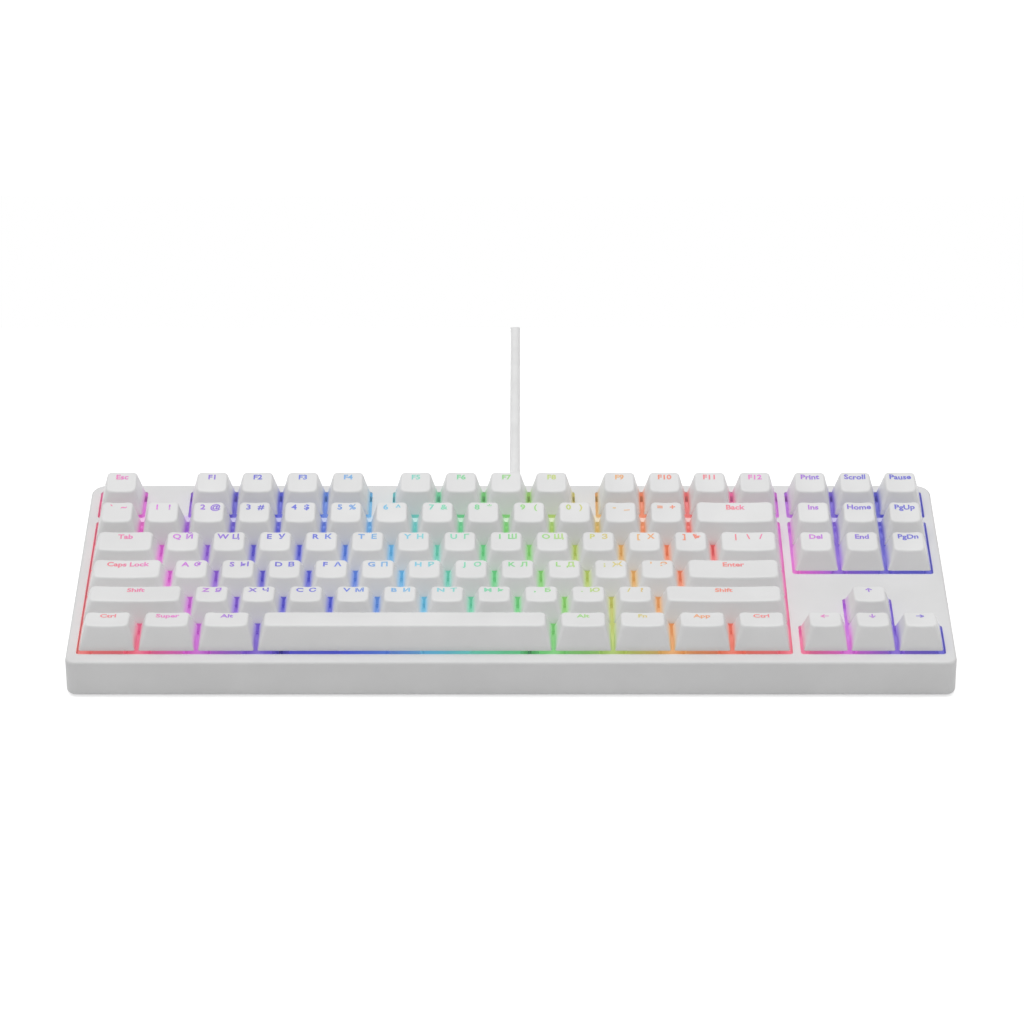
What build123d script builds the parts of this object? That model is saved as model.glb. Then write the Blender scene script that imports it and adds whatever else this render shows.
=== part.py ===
from build123d import *
import math
import os

# Wired tenkeyless mechanical keyboard with 87 keys, in millimetres.
#
# Row frame: +X to the typist's right, +Y away from the typist, +Z up. The origin is on the desk,
# under the middle of the case.
#
# Deck frame: the flat top of the case, which rises towards the back. u runs along X from the left
# end of the key grid, v runs up the slope from the front of the grid, and w stands out of the deck.
# Switches, caps, plate and board are all drawn in the deck frame.

# ---------------------------------------------------------------- driving dimensions

# key grid
KEY_PITCH = 19.05
BLOCK_GAP = 4.05
MAIN_UNITS = 15
SIDE_BLOCK_UNITS = 3
LETTER_ROWS = 5

# case
DECK_TILT = 5.0
SIDE_RIM = 4.525
FRONT_RIM = 6.4
REAR_RIM = 6.4
FRONT_WALL_HEIGHT = 15.4
CASE_WALL = 3.2
DECK_THICKNESS = 2.2
FRONT_CORNER_RADIUS = 4.0
REAR_CORNER_RADIUS = 6.5
TOP_EDGE_RADIUS = 1.2
LOWER_EDGE_RADIUS = 1.8
OPENING_MARGIN = 0.45
OPENING_CORNER_RADIUS = 1.2
FLOOR_THICKNESS = 2.2
TRAY_LIP_HEIGHT = 1.2
TRAY_LIP_THICKNESS = 1.5
SEAM = 0.12

# snap tabs along the front of the tray
TAB_COUNT = 5
TAB_WIDTH = 12.0
TAB_HEIGHT = 1.4
TAB_REACH = 1.2
TAB_SPACING = 70.0

# rubber pads
PAD_LENGTH = 30.0
PAD_WIDTH = 7.0
PAD_HEIGHT = 1.8
PAD_PROUD = 0.6
PAD_SIDE_INSET = 30.0
PAD_FRONT_INSET = 10.0
PAD_REAR_INSET = 7.8

# flip-out feet
FOOT_WIDTH = 30.0
FOOT_LENGTH = 20.0
FOOT_THICKNESS = 3.6
FOOT_PIN_RADIUS = 1.3
FOOT_PIN_LENGTH = 1.4
FOOT_SIDE_INSET = 44.0
FOOT_REAR_INSET = 23.5
FOOT_CLEARANCE = 0.35
FOOT_WELL_WALL = 1.8
PIN_CLEARANCE = 0.05

# plate, board and what lies under them
PLATE_DEPTH = 5.1
PLATE_THICKNESS = 1.5
PLATE_OVERHANG = 0.8
SWITCH_CUTOUT = 14.0
PLATE_TO_BOARD = 5.0
BOARD_THICKNESS = 1.6
DAMPING_THICKNESS = 1.4
DAMPING_HALF_LENGTH = 160.0
DAMPING_FRONT = -36.0
DAMPING_REAR = 18.5

# screws
POST_RADIUS = 2.2
PLATE_SCREW_RADIUS = 1.0
PLATE_SCREW_HEAD_RADIUS = 1.8
PLATE_SCREW_HEAD_HEIGHT = 1.1
PLATE_SCREW_LENGTH = 5.0
BOSS_RADIUS = 3.2
CASE_SCREW_RADIUS = 1.3
CASE_SCREW_HEAD_RADIUS = 2.4
CASE_SCREW_HEAD_HEIGHT = 1.2
CASE_SCREW_LENGTH = 8.0
SCREW_HOLE_CLEARANCE = 0.3
PASS_CLEARANCE = 1.0

# switch
TRAVEL = 4.0
HOUSING_WIDTH = 13.9
FLANGE_WIDTH = 15.6
FLANGE_THICKNESS = 0.9
UPPER_BASE_WIDTH = 13.8
UPPER_TOP_WIDTH = 10.8
HOUSING_HEIGHT = 6.6
UPPER_TOP_WALL = 1.2
HOUSING_FLOOR = 1.2
HOUSING_CAVITY = 10.2
SLIDER_WIDTH = 7.0
SLIDER_DEPTH = 6.0
SLIDER_FOOT_WIDTH = 9.6
SLIDER_FOOT_HEIGHT = 4.4
SLIDER_CLEARANCE = 0.2
SPRING_RADIUS = 2.15
SPRING_WIRE = 0.45
CROSS_SPAN = 4.0
CROSS_BAR = 1.15
CROSS_HEIGHT = 3.5
CROSS_CLEARANCE = 0.04
LED_WIDTH = 3.2
LED_DEPTH = 2.4
LED_HEIGHT = 1.4
LED_BACK = 5.1
LED_CLEARANCE = 0.25

# keycap
CAP_GAP = 0.95
CAP_LIFT = 0.9
CAP_CORNER_RADIUS = 1.4
CAP_FRONT_INSET = 3.4
CAP_REAR_INSET = 2.3
CAP_SIDE_INSET = 2.85
CAP_WALL = 1.15
CAP_ROOF = 1.5
CAP_BOSS_RADIUS = 2.75

# Height of each row's cap top above its lower edge: front edge, then rear edge.
CAP_PROFILE = {
    "bottom": (10.3, 8.3),
    "lower": (9.3, 8.0),
    "home": (7.9, 8.1),
    "upper": (8.4, 9.3),
    "number": (9.9, 11.6),
    "function": (9.9, 11.6),
}

# stabiliser
WIRE_RADIUS = 0.75
WIRE_PIVOT_FORWARD = 8.6
WIRE_PIVOT_ABOVE_BOARD = 2.0
WIRE_TIP_BACK = 0.6
WIRE_BEND_RADIUS = 1.6
WIRE_PIVOT_CLEARANCE = 0.08
STEM_WIDTH = 4.0
STEM_FRONT = 1.6
STEM_LEG_FRONT = 2.0
STEM_LEG_THICKNESS = 0.8
STEM_LIP = 0.55
WIRE_PLAY = 0.3
GUIDE_WALL = 1.2
GUIDE_CLEARANCE = 0.3
GUIDE_TOP_BELOW_DECK = 2.8
GUIDE_SHOULDER_BELOW_PLATE = 0.1
SHORT_STABILISER_REACH = 11.94
LONG_STABILISER_REACH = 50.0

# electronics under the board
CONTROLLER_SIZE = 9.0
DRIVER_SIZE = 7.0
CHIP_HEIGHT = 1.1
CONNECTOR_WIDTH = 9.0
CONNECTOR_DEPTH = 6.0
CONNECTOR_HEIGHT = 4.0
CONNECTOR_V = 104.0
INNER_LEAD_RADIUS = 1.6

# cord
CORD_RADIUS = 2.25
CORD_X = 1.5
CORD_EXIT_HEIGHT = 8.5
BOOT_LENGTH = 24.0
BOOT_ROOT_RADIUS = 4.6
BOOT_TIP_RADIUS = 3.1
BOOT_NECK_RADIUS = 3.6
BOOT_FLANGE_RADIUS = 5.0
BOOT_FLANGE_THICKNESS = 1.5
BOOT_FIT = 0.05
COIL_INNER_TURN = 18.0
COIL_TURNS_PER_LAYER = 4
COIL_LAYERS = 2
TIE_WIDTH = 10.0
TIE_THICKNESS = 1.0
TIE_CLEARANCE = 0.1

# plug
GRIP_LENGTH = 27.0
GRIP_WIDTH = 15.0
GRIP_HEIGHT = 7.8
GRIP_RADIUS = 2.0
SHELL_LENGTH = 18.7
SHELL_WIDTH = 12.0
SHELL_HEIGHT = 4.5
SHELL_WALL = 0.3
SHELL_SEAT = 4.0
TONGUE_THICKNESS = 1.8
TONGUE_SHORTFALL = 0.6

# ---------------------------------------------------------------- worked out from those

MAIN_WIDTH = MAIN_UNITS * KEY_PITCH
SIDE_BLOCK_U = MAIN_WIDTH + BLOCK_GAP
GRID_WIDTH = SIDE_BLOCK_U + SIDE_BLOCK_UNITS * KEY_PITCH
FUNCTION_ROW_V = LETTER_ROWS * KEY_PITCH + BLOCK_GAP
GRID_DEPTH = FUNCTION_ROW_V + KEY_PITCH

TILT = math.radians(DECK_TILT)
CASE_WIDTH = GRID_WIDTH + 2 * SIDE_RIM
CASE_DEPTH = (GRID_DEPTH + FRONT_RIM + REAR_RIM) * math.cos(TILT)
CASE_BASE = PAD_PROUD
FRONT_TOP = CASE_BASE + FRONT_WALL_HEIGHT
FLOOR_TOP = CASE_BASE + FLOOR_THICKNESS
REAR_Y = CASE_DEPTH / 2

DECK = Location(
    (
        -GRID_WIDTH / 2,
        -CASE_DEPTH / 2 + FRONT_RIM * math.cos(TILT),
        FRONT_TOP + FRONT_RIM * math.sin(TILT),
    ),
    (DECK_TILT, 0, 0),
)

PLATE_TOP = -PLATE_DEPTH
PLATE_UNDERSIDE = PLATE_TOP - PLATE_THICKNESS
BOARD_TOP = PLATE_TOP - PLATE_TO_BOARD
BOARD_UNDERSIDE = BOARD_TOP - BOARD_THICKNESS
FLANGE_TOP = PLATE_TOP + FLANGE_THICKNESS
HOUSING_TOP = PLATE_TOP + HOUSING_HEIGHT
CAVITY_FLOOR = BOARD_TOP + HOUSING_FLOOR
CAVITY_ROOF = HOUSING_TOP - UPPER_TOP_WALL
SHOULDER = HOUSING_TOP + 0.1
SLIDER_FOOT_TOP = CAVITY_ROOF - 0.1
SLIDER_BOTTOM = SLIDER_FOOT_TOP - SLIDER_FOOT_HEIGHT

WIRE_PIVOT_W = BOARD_TOP + WIRE_PIVOT_ABOVE_BOARD
WIRE_ANGLE = math.atan(TRAVEL / WIRE_PIVOT_FORWARD)
WIRE_AT_STEM_W = WIRE_PIVOT_W + TRAVEL

CORD_EXIT_Y = REAR_Y + BOOT_LENGTH
CORD_DIAMETER = 2 * CORD_RADIUS
COIL_OUTER_TURN = COIL_INNER_TURN + COIL_TURNS_PER_LAYER * CORD_DIAMETER
COIL_HEIGHT = COIL_LAYERS * CORD_DIAMETER
COIL_OUTER_RADIUS = COIL_OUTER_TURN + CORD_RADIUS
COIL_HOLE_RADIUS = COIL_INNER_TURN - CORD_RADIUS

# ---------------------------------------------------------------- key layout

ROW_V = {
    "bottom": 0,
    "lower": KEY_PITCH,
    "home": 2 * KEY_PITCH,
    "upper": 3 * KEY_PITCH,
    "number": 4 * KEY_PITCH,
    "function": FUNCTION_ROW_V,
}

# Each run of keys: node name, row, u of its left end, and the widths of its keys in units.
KEY_RUNS = [
    ("key_left_control", "bottom", 0, [1.25]),
    ("key_left_system", "bottom", 1.25 * KEY_PITCH, [1.25]),
    ("key_left_alt", "bottom", 2.5 * KEY_PITCH, [1.25]),
    ("key_space", "bottom", 3.75 * KEY_PITCH, [6.25]),
    ("key_right_alt", "bottom", 10 * KEY_PITCH, [1.25]),
    ("key_function_layer", "bottom", 11.25 * KEY_PITCH, [1.25]),
    ("key_menu", "bottom", 12.5 * KEY_PITCH, [1.25]),
    ("key_right_control", "bottom", 13.75 * KEY_PITCH, [1.25]),
    ("key_left_shift", "lower", 0, [2.25]),
    ("keys_lower_letters", "lower", 2.25 * KEY_PITCH, [1] * 10),
    ("key_right_shift", "lower", 12.25 * KEY_PITCH, [2.75]),
    ("key_caps_lock", "home", 0, [1.75]),
    ("keys_home_letters", "home", 1.75 * KEY_PITCH, [1] * 11),
    ("key_enter", "home", 12.75 * KEY_PITCH, [2.25]),
    ("key_tab", "upper", 0, [1.5]),
    ("keys_upper_letters", "upper", 1.5 * KEY_PITCH, [1] * 12),
    ("key_backslash", "upper", 13.5 * KEY_PITCH, [1.5]),
    ("keys_numbers", "number", 0, [1] * 13),
    ("key_backspace", "number", 13 * KEY_PITCH, [2]),
    ("key_escape", "function", 0, [1]),
    ("keys_f1_to_f4", "function", 2 * KEY_PITCH, [1] * 4),
    ("keys_f5_to_f8", "function", 6.5 * KEY_PITCH, [1] * 4),
    ("keys_f9_to_f12", "function", 11 * KEY_PITCH, [1] * 4),
    ("keys_print_group", "function", SIDE_BLOCK_U, [1] * 3),
    ("keys_navigation", "number", SIDE_BLOCK_U, [1] * 3),
    ("keys_navigation", "upper", SIDE_BLOCK_U, [1] * 3),
    ("key_arrow_up", "lower", SIDE_BLOCK_U + KEY_PITCH, [1]),
    ("key_arrow_left", "bottom", SIDE_BLOCK_U, [1]),
    ("key_arrow_down", "bottom", SIDE_BLOCK_U + KEY_PITCH, [1]),
    ("key_arrow_right", "bottom", SIDE_BLOCK_U + 2 * KEY_PITCH, [1]),
]

# Keys of 2 units and more have a stabiliser: how far its two stems stand from the key's middle.
STABILISERS = {
    "key_backspace": SHORT_STABILISER_REACH,
    "key_enter": SHORT_STABILISER_REACH,
    "key_left_shift": SHORT_STABILISER_REACH,
    "key_right_shift": SHORT_STABILISER_REACH,
    "key_space": LONG_STABILISER_REACH,
}


class Key:
    """One key: the node it belongs to, its row, its width in units and its middle on the deck."""

    def __init__(self, node, row, left, units):
        self.node = node
        self.row = row
        self.units = units
        self.u = left + units * KEY_PITCH / 2
        self.v = ROW_V[row] + KEY_PITCH / 2
        self.reach = STABILISERS.get(node)


def lay_out_keys():
    """All 87 keys, run by run."""
    keys = []
    for node, row, left, widths in KEY_RUNS:
        for units in widths:
            keys.append(Key(node, row, left, units))
            left += units * KEY_PITCH
    return keys


KEYS = lay_out_keys()

# Where the case screws pass through plate and board, in the gaps between the key blocks.
F_ROW_MIDDLE = FUNCTION_ROW_V + KEY_PITCH / 2
BOSS_PLACES = [
    (1.5 * KEY_PITCH, F_ROW_MIDDLE),
    (6.25 * KEY_PITCH, F_ROW_MIDDLE),
    (10.75 * KEY_PITCH, F_ROW_MIDDLE),
    (SIDE_BLOCK_U + 0.5 * KEY_PITCH, 1.5 * KEY_PITCH),
    (SIDE_BLOCK_U + 2.5 * KEY_PITCH, 1.5 * KEY_PITCH),
    (SIDE_BLOCK_U + 1.5 * KEY_PITCH, 2.5 * KEY_PITCH),
]

# Where posts of the tray carry the plate, between switches and under the ends of the space bar.
POST_PLACES = [
    (0.125 * KEY_PITCH, KEY_PITCH),
    (0.125 * KEY_PITCH, 3 * KEY_PITCH),
    (5.5 * KEY_PITCH, 0.5 * KEY_PITCH),
    (8.25 * KEY_PITCH, 0.5 * KEY_PITCH),
    (14.875 * KEY_PITCH, KEY_PITCH),
    (14.875 * KEY_PITCH, 2 * KEY_PITCH),
]

# ---------------------------------------------------------------- helpers


def block(u, v, w):
    """A box from three (low, high) pairs."""
    size = [high - low for low, high in (u, v, w)]
    middle = [(high + low) / 2 for low, high in (u, v, w)]
    return Pos(*middle) * Box(*size)


def square_block(width, w_low, w_high, depth=None):
    """A box around the local w axis."""
    return Pos(0, 0, (w_low + w_high) / 2) * Box(width, depth or width, w_high - w_low)


def post(radius, w_low, w_high):
    """A cylinder on the local w axis."""
    return Pos(0, 0, (w_low + w_high) / 2) * Cylinder(radius, w_high - w_low)


def frustum(base, top, w_low, w_high):
    """A square frustum around the local w axis."""
    lower = Pos(0, 0, w_low) * Rectangle(base, base)
    upper = Pos(0, 0, w_high) * Rectangle(top, top)
    return loft([lower, upper], ruled=True)


def on_deck(solids):
    """Solids drawn in the deck frame, moved to where the deck lies."""
    return [solid.moved(DECK) for solid in solids]


def deck_point(u, v, w):
    """A deck point in the row frame."""
    return (DECK * Pos(u, v, w)).position


def lone_solid(shape):
    """The one solid of a shape."""
    solids = shape.solids()
    if len(solids) != 1:
        raise ValueError(f"expected one solid, got {len(solids)}")
    return solids[0]


def save(node, solids):
    """Write one node as a STEP file."""
    shape = solids[0] if len(solids) == 1 else Compound(solids)
    export_step(shape, f"parts/{node}.step")


# ---------------------------------------------------------------- keycaps and sliders


def cap_body(width, depth, front_height, rear_height, inset, outline):
    """A tapered cap body, taller than the cap, before its top is cut.

    outline makes each section from its width and depth: round-cornered outside, plain inside.
    """
    height = max(front_height, rear_height) + 1.0
    front = CAP_FRONT_INSET * height / front_height
    rear = CAP_REAR_INSET * height / rear_height
    side = CAP_SIDE_INSET * height * 2 / (front_height + rear_height)
    base = outline(width - 2 * inset, depth - 2 * inset)
    top = outline(width - 2 * inset - 2 * side, depth - 2 * inset - front - rear)
    return loft([base, Pos(0, (front - rear) / 2, height) * top], ruled=True)


def rounded_outline(width, depth):
    """The outer section of a cap."""
    return RectangleRounded(width, depth, CAP_CORNER_RADIUS)


def above_slope(front_height, rear_height, depth, width):
    """Everything above the plane of a cap's top, which passes through its front and rear edges."""
    front_v = -depth / 2 + CAP_FRONT_INSET
    rear_v = depth / 2 - CAP_REAR_INSET
    slope = math.degrees(math.atan2(rear_height - front_height, rear_v - front_v))
    middle = Location((0, (front_v + rear_v) / 2, (front_height + rear_height) / 2), (slope, 0, 0))
    return middle * Pos(0, 0, depth / 2) * Box(width + depth, 3 * depth, depth)


def cross_bars(span, bar, w_low, w_high):
    """The two crossed bars of a switch stem."""
    return square_block(span, w_low, w_high, bar) + square_block(bar, w_low, w_high, span)


def keycap(key):
    """A hollow tapered cap with a sloping top, and inside it a cross-shaped socket for each stem."""
    width = key.units * KEY_PITCH - CAP_GAP
    depth = KEY_PITCH - CAP_GAP
    front_height, rear_height = CAP_PROFILE[key.row]
    cap = cap_body(width, depth, front_height, rear_height, 0, rounded_outline)
    above = above_slope(front_height, rear_height, depth, width)
    cap -= above
    boss_bottom = SHOULDER - CAP_LIFT
    boss = post(CAP_BOSS_RADIUS, boss_bottom, front_height + rear_height)
    socket = cross_bars(
        CROSS_SPAN + 2 * CROSS_CLEARANCE,
        CROSS_BAR + 2 * CROSS_CLEARANCE,
        boss_bottom,
        boss_bottom + CROSS_HEIGHT + CROSS_CLEARANCE,
    )
    hollow = cap_body(width, depth, front_height, rear_height, CAP_WALL, Rectangle)
    hollow -= Pos(0, 0, -CAP_ROOF) * above
    hollow -= [Pos(offset, 0, 0) * boss for offset in stem_offsets(key)]
    cap -= hollow
    cap -= [Pos(offset, 0, 0) * socket for offset in stem_offsets(key)]
    return lone_solid(Pos(0, 0, CAP_LIFT) * cap)


def stem_offsets(key):
    """Where a cap's bosses stand along u: at the switch, and at the stabiliser's stems."""
    if key.reach is None:
        return [0]
    return [-key.reach, 0, key.reach]


def slider():
    """The switch's moving stem: a shaft with a wider foot that retains it and a cross on top."""
    shaft = square_block(SLIDER_WIDTH, SLIDER_BOTTOM, SHOULDER, SLIDER_DEPTH)
    shaft += square_block(SLIDER_FOOT_WIDTH, SLIDER_BOTTOM, SLIDER_FOOT_TOP, SLIDER_DEPTH)
    shaft += cross_bars(CROSS_SPAN, CROSS_BAR, SHOULDER, SHOULDER + CROSS_HEIGHT)
    return lone_solid(shaft)


def stabiliser_stem():
    """A stabiliser's stem: a shaft whose hooked foot holds the wire, with a cross on top."""
    half = STEM_WIDTH / 2
    leg_back = STEM_LEG_FRONT + STEM_LEG_THICKNESS
    rise = math.tan(WIRE_ANGLE)
    wire_half = WIRE_RADIUS / math.cos(WIRE_ANGLE)
    lip_top = WIRE_AT_STEM_W - wire_half - WIRE_PLAY
    ceiling = WIRE_AT_STEM_W + WIRE_TIP_BACK * rise + wire_half + WIRE_PLAY
    stem = block((-half, half), (-STEM_FRONT, leg_back), (ceiling, SHOULDER))
    stem += block((-half, half), (STEM_LEG_FRONT, leg_back), (lip_top - STEM_LIP, SHOULDER))
    stem += block((-half, half), (0, leg_back), (lip_top - STEM_LIP, lip_top))
    stem += cross_bars(CROSS_SPAN, CROSS_BAR, SHOULDER, SHOULDER + CROSS_HEIGHT)
    return lone_solid(stem)


def key_nodes():
    """Node name to the solids of its keys: caps, sliders and stabiliser stems."""
    caps = {}
    nodes = {}
    switch_slider = slider()
    stem = stabiliser_stem()
    for key in KEYS:
        shape = (key.row, key.units)
        if shape not in caps:
            caps[shape] = keycap(key)
        here = Pos(key.u, key.v, 0)
        solids = nodes.setdefault(key.node, [])
        solids += [here * caps[shape], here * switch_slider]
        if key.reach is not None:
            solids += [here * Pos(side * key.reach, 0, 0) * stem for side in (-1, 1)]
    return nodes


# ---------------------------------------------------------------- switches


def lower_housing():
    """The half of the switch below the plate, with its flange and the window over its light."""
    body = square_block(HOUSING_WIDTH, BOARD_TOP, PLATE_TOP)
    body += square_block(FLANGE_WIDTH, PLATE_TOP, FLANGE_TOP)
    body -= square_block(HOUSING_CAVITY, CAVITY_FLOOR, FLANGE_TOP)
    window_half = LED_WIDTH / 2 + LED_CLEARANCE
    window_front = LED_BACK - LED_DEPTH / 2 - LED_CLEARANCE
    window_top = BOARD_TOP + LED_HEIGHT + LED_CLEARANCE
    body -= block(
        (-window_half, window_half), (window_front, HOUSING_WIDTH / 2), (BOARD_TOP, window_top)
    )
    return lone_solid(body)


def upper_housing():
    """The cover of the switch above the plate, open below, with a slot for the slider."""
    cover = frustum(UPPER_BASE_WIDTH, UPPER_TOP_WIDTH, FLANGE_TOP, HOUSING_TOP)
    cover -= square_block(HOUSING_CAVITY, FLANGE_TOP, CAVITY_ROOF)
    cover -= square_block(
        SLIDER_WIDTH + 2 * SLIDER_CLEARANCE,
        CAVITY_ROOF,
        HOUSING_TOP,
        SLIDER_DEPTH + 2 * SLIDER_CLEARANCE,
    )
    return lone_solid(cover)


def spring():
    """The return spring, as a plain sleeve of the coil's outer and inner diameters."""
    sleeve = post(SPRING_RADIUS, CAVITY_FLOOR, SLIDER_BOTTOM)
    sleeve -= post(SPRING_RADIUS - SPRING_WIRE, CAVITY_FLOOR, SLIDER_BOTTOM)
    return lone_solid(sleeve)


def at_each_key(solid, back=0.0):
    """Copies of a solid at every key, or a set distance behind its middle."""
    return [Pos(key.u, key.v + back, 0) * solid for key in KEYS]


# ---------------------------------------------------------------- stabilisers


def wire_guide():
    """A stabiliser housing: two cheeks that guide the stem and carry the wire's pivot."""
    inner = STEM_WIDTH / 2 + GUIDE_CLEARANCE
    outer = inner + GUIDE_WALL
    leg_back = STEM_LEG_FRONT + STEM_LEG_THICKNESS
    front = -WIRE_PIVOT_FORWARD - WIRE_RADIUS - WIRE_PIVOT_CLEARANCE - GUIDE_WALL / 2
    tower_front = -STEM_FRONT - GUIDE_CLEARANCE - GUIDE_WALL
    back = leg_back + GUIDE_CLEARANCE + GUIDE_WALL
    shoulder = PLATE_UNDERSIDE - GUIDE_SHOULDER_BELOW_PLATE
    guide = block((-outer, outer), (front, back), (BOARD_TOP, shoulder))
    guide += block((-outer, outer), (tower_front, back), (BOARD_TOP, -GUIDE_TOP_BELOW_DECK))
    slot_front = front + GUIDE_WALL / 2
    slot_back = leg_back + GUIDE_CLEARANCE
    guide -= block((-inner, inner), (slot_front, slot_back), (BOARD_TOP, 0))
    pivot = Pos(0, -WIRE_PIVOT_FORWARD, WIRE_PIVOT_W) * Rot(0, 90, 0)
    hole = Cylinder(WIRE_RADIUS + WIRE_PIVOT_CLEARANCE, 2 * GUIDE_WALL)
    right = guide - Pos(-inner - GUIDE_WALL / 2, 0, 0) * pivot * hole
    left = guide - Pos(inner + GUIDE_WALL / 2, 0, 0) * pivot * hole
    return lone_solid(left), lone_solid(right)


def stabiliser_wire(reach):
    """The bent wire that keeps a wide key level: a bar on its pivots, with an arm at each end."""
    tip_run = WIRE_PIVOT_FORWARD + WIRE_TIP_BACK
    tip_v = WIRE_TIP_BACK
    tip_w = WIRE_PIVOT_W + tip_run * math.tan(WIRE_ANGLE)
    bar_v = -WIRE_PIVOT_FORWARD
    line = FilletPolyline(
        (-reach, tip_v, tip_w),
        (-reach, bar_v, WIRE_PIVOT_W),
        (reach, bar_v, WIRE_PIVOT_W),
        (reach, tip_v, tip_w),
        radius=WIRE_BEND_RADIUS,
    )
    section = Plane(line @ 0, z_dir=line % 0) * Circle(WIRE_RADIUS)
    return lone_solid(sweep(section, path=line))


def stabiliser_parts():
    """The housings of all stabilisers, and one wire for each wide key."""
    left_guide, right_guide = wire_guide()
    guides = []
    wires = {}
    for key in KEYS:
        if key.reach is None:
            continue
        here = Pos(key.u, key.v, 0)
        guides += [here * Pos(-key.reach, 0, 0) * left_guide]
        guides += [here * Pos(key.reach, 0, 0) * right_guide]
        wires[f"stabiliser_wire_{key.node[4:]}"] = here * stabiliser_wire(key.reach)
    return guides, wires


# ---------------------------------------------------------------- plate and board


def grid_sheet(w_low, w_high, cutters):
    """A sheet under the whole key grid with the cutters taken out of it."""
    sheet = block(
        (-PLATE_OVERHANG, GRID_WIDTH + PLATE_OVERHANG),
        (-PLATE_OVERHANG, GRID_DEPTH + PLATE_OVERHANG),
        (w_low, w_high),
    )
    return lone_solid(sheet - cutters)


def boss_passages(w_low, w_high):
    """Round holes that let the case's screw bosses through a sheet."""
    hole = post(BOSS_RADIUS + PASS_CLEARANCE, w_low, w_high)
    return [Pos(u, v, 0) * hole for u, v in BOSS_PLACES]


def guide_window(w_low, w_high):
    """The plate's window for a stabiliser housing and its swinging wire."""
    half = STEM_WIDTH / 2 + GUIDE_CLEARANCE + GUIDE_WALL + GUIDE_CLEARANCE / 2
    back = STEM_LEG_FRONT + STEM_LEG_THICKNESS + GUIDE_WALL + 1.5 * GUIDE_CLEARANCE
    wire_half = WIRE_RADIUS / math.cos(WIRE_ANGLE) + WIRE_PLAY
    wire_run = (PLATE_UNDERSIDE - WIRE_PIVOT_W - wire_half) / math.tan(WIRE_ANGLE)
    front = -WIRE_PIVOT_FORWARD + wire_run
    return block((-half, half), (front, back), (w_low, w_high))


def switch_plate():
    """The metal plate that every switch clips into."""
    span = (PLATE_UNDERSIDE, PLATE_TOP)
    cutters = at_each_key(square_block(SWITCH_CUTOUT, *span))
    for key in KEYS:
        if key.reach is not None:
            window = guide_window(*span)
            cutters += [Pos(key.u + side * key.reach, key.v, 0) * window for side in (-1, 1)]
    screw_hole = post(PLATE_SCREW_RADIUS + SCREW_HOLE_CLEARANCE, *span)
    cutters += [Pos(u, v, 0) * screw_hole for u, v in POST_PLACES]
    return grid_sheet(*span, cutters + boss_passages(*span))


def circuit_board():
    """The board that the switches stand on, with holes for posts and bosses."""
    span = (BOARD_UNDERSIDE, BOARD_TOP)
    post_hole = post(POST_RADIUS + SCREW_HOLE_CLEARANCE, *span)
    cutters = [Pos(u, v, 0) * post_hole for u, v in POST_PLACES]
    return grid_sheet(*span, cutters + boss_passages(*span))


def plate_screws():
    """Pan-head screws that hold the plate down on the tray's posts."""
    screw = post(PLATE_SCREW_HEAD_RADIUS, PLATE_TOP, PLATE_TOP + PLATE_SCREW_HEAD_HEIGHT)
    screw += post(PLATE_SCREW_RADIUS, PLATE_TOP - PLATE_SCREW_LENGTH, PLATE_TOP)
    return [Pos(u, v, 0) * screw for u, v in POST_PLACES]


# ---------------------------------------------------------------- electronics

CHIP_V = 3.5 * KEY_PITCH
CHIP_PLACES = [
    (4.25 * KEY_PITCH, DRIVER_SIZE),
    (9.25 * KEY_PITCH, CONTROLLER_SIZE),
    (12.25 * KEY_PITCH, DRIVER_SIZE),
    (SIDE_BLOCK_U + KEY_PITCH, DRIVER_SIZE),
]


def controller_chips():
    """The controller and the light drivers, under the board between two rows of switches."""
    span = (BOARD_UNDERSIDE - CHIP_HEIGHT, BOARD_UNDERSIDE)
    chips = [Pos(u, CHIP_V, 0) * square_block(size, *span) for u, size in CHIP_PLACES]
    return chips


def connector_u():
    """Where the cord's connector stands along the grid."""
    return GRID_WIDTH / 2 + CORD_X


def board_connector():
    """The socket and plug housing of the cord's inner end, under the board."""
    span = (BOARD_UNDERSIDE - CONNECTOR_HEIGHT, BOARD_UNDERSIDE)
    body = square_block(CONNECTOR_WIDTH, *span, CONNECTOR_DEPTH)
    return Pos(connector_u(), CONNECTOR_V, 0) * body


# ---------------------------------------------------------------- case


def plan(inset, z, corner_inset=0.0):
    """The case's outline seen from above, at height z, drawn in by inset."""
    outline = Rectangle(CASE_WIDTH - 2 * inset, CASE_DEPTH - 2 * inset)
    ends = outline.vertices().group_by(Axis.Y)
    outline = fillet(ends[0], max(FRONT_CORNER_RADIUS - inset - corner_inset, 0.5))
    ends = outline.vertices().group_by(Axis.Y)[-1]
    outline = fillet(ends, max(REAR_CORNER_RADIUS - inset - corner_inset, 0.5))
    return Pos(0, 0, z) * outline


def below_deck(w):
    """A slab that holds everything under height w of the deck frame."""
    reach = 2 * CASE_WIDTH
    slab = block((-reach, reach), (-reach, reach), (w - reach, w))
    return slab.moved(DECK)


def opening(u_low, u_high, v_low, v_high):
    """A round-cornered opening of the deck around a block of keys."""
    margin = OPENING_MARGIN
    width = u_high - u_low + 2 * margin
    depth = v_high - v_low + 2 * margin
    outline = RectangleRounded(width, depth, OPENING_CORNER_RADIUS)
    cutter = extrude(outline, amount=3 * DECK_THICKNESS, both=True)
    return Pos((u_low + u_high) / 2, (v_low + v_high) / 2, 0) * cutter


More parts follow.
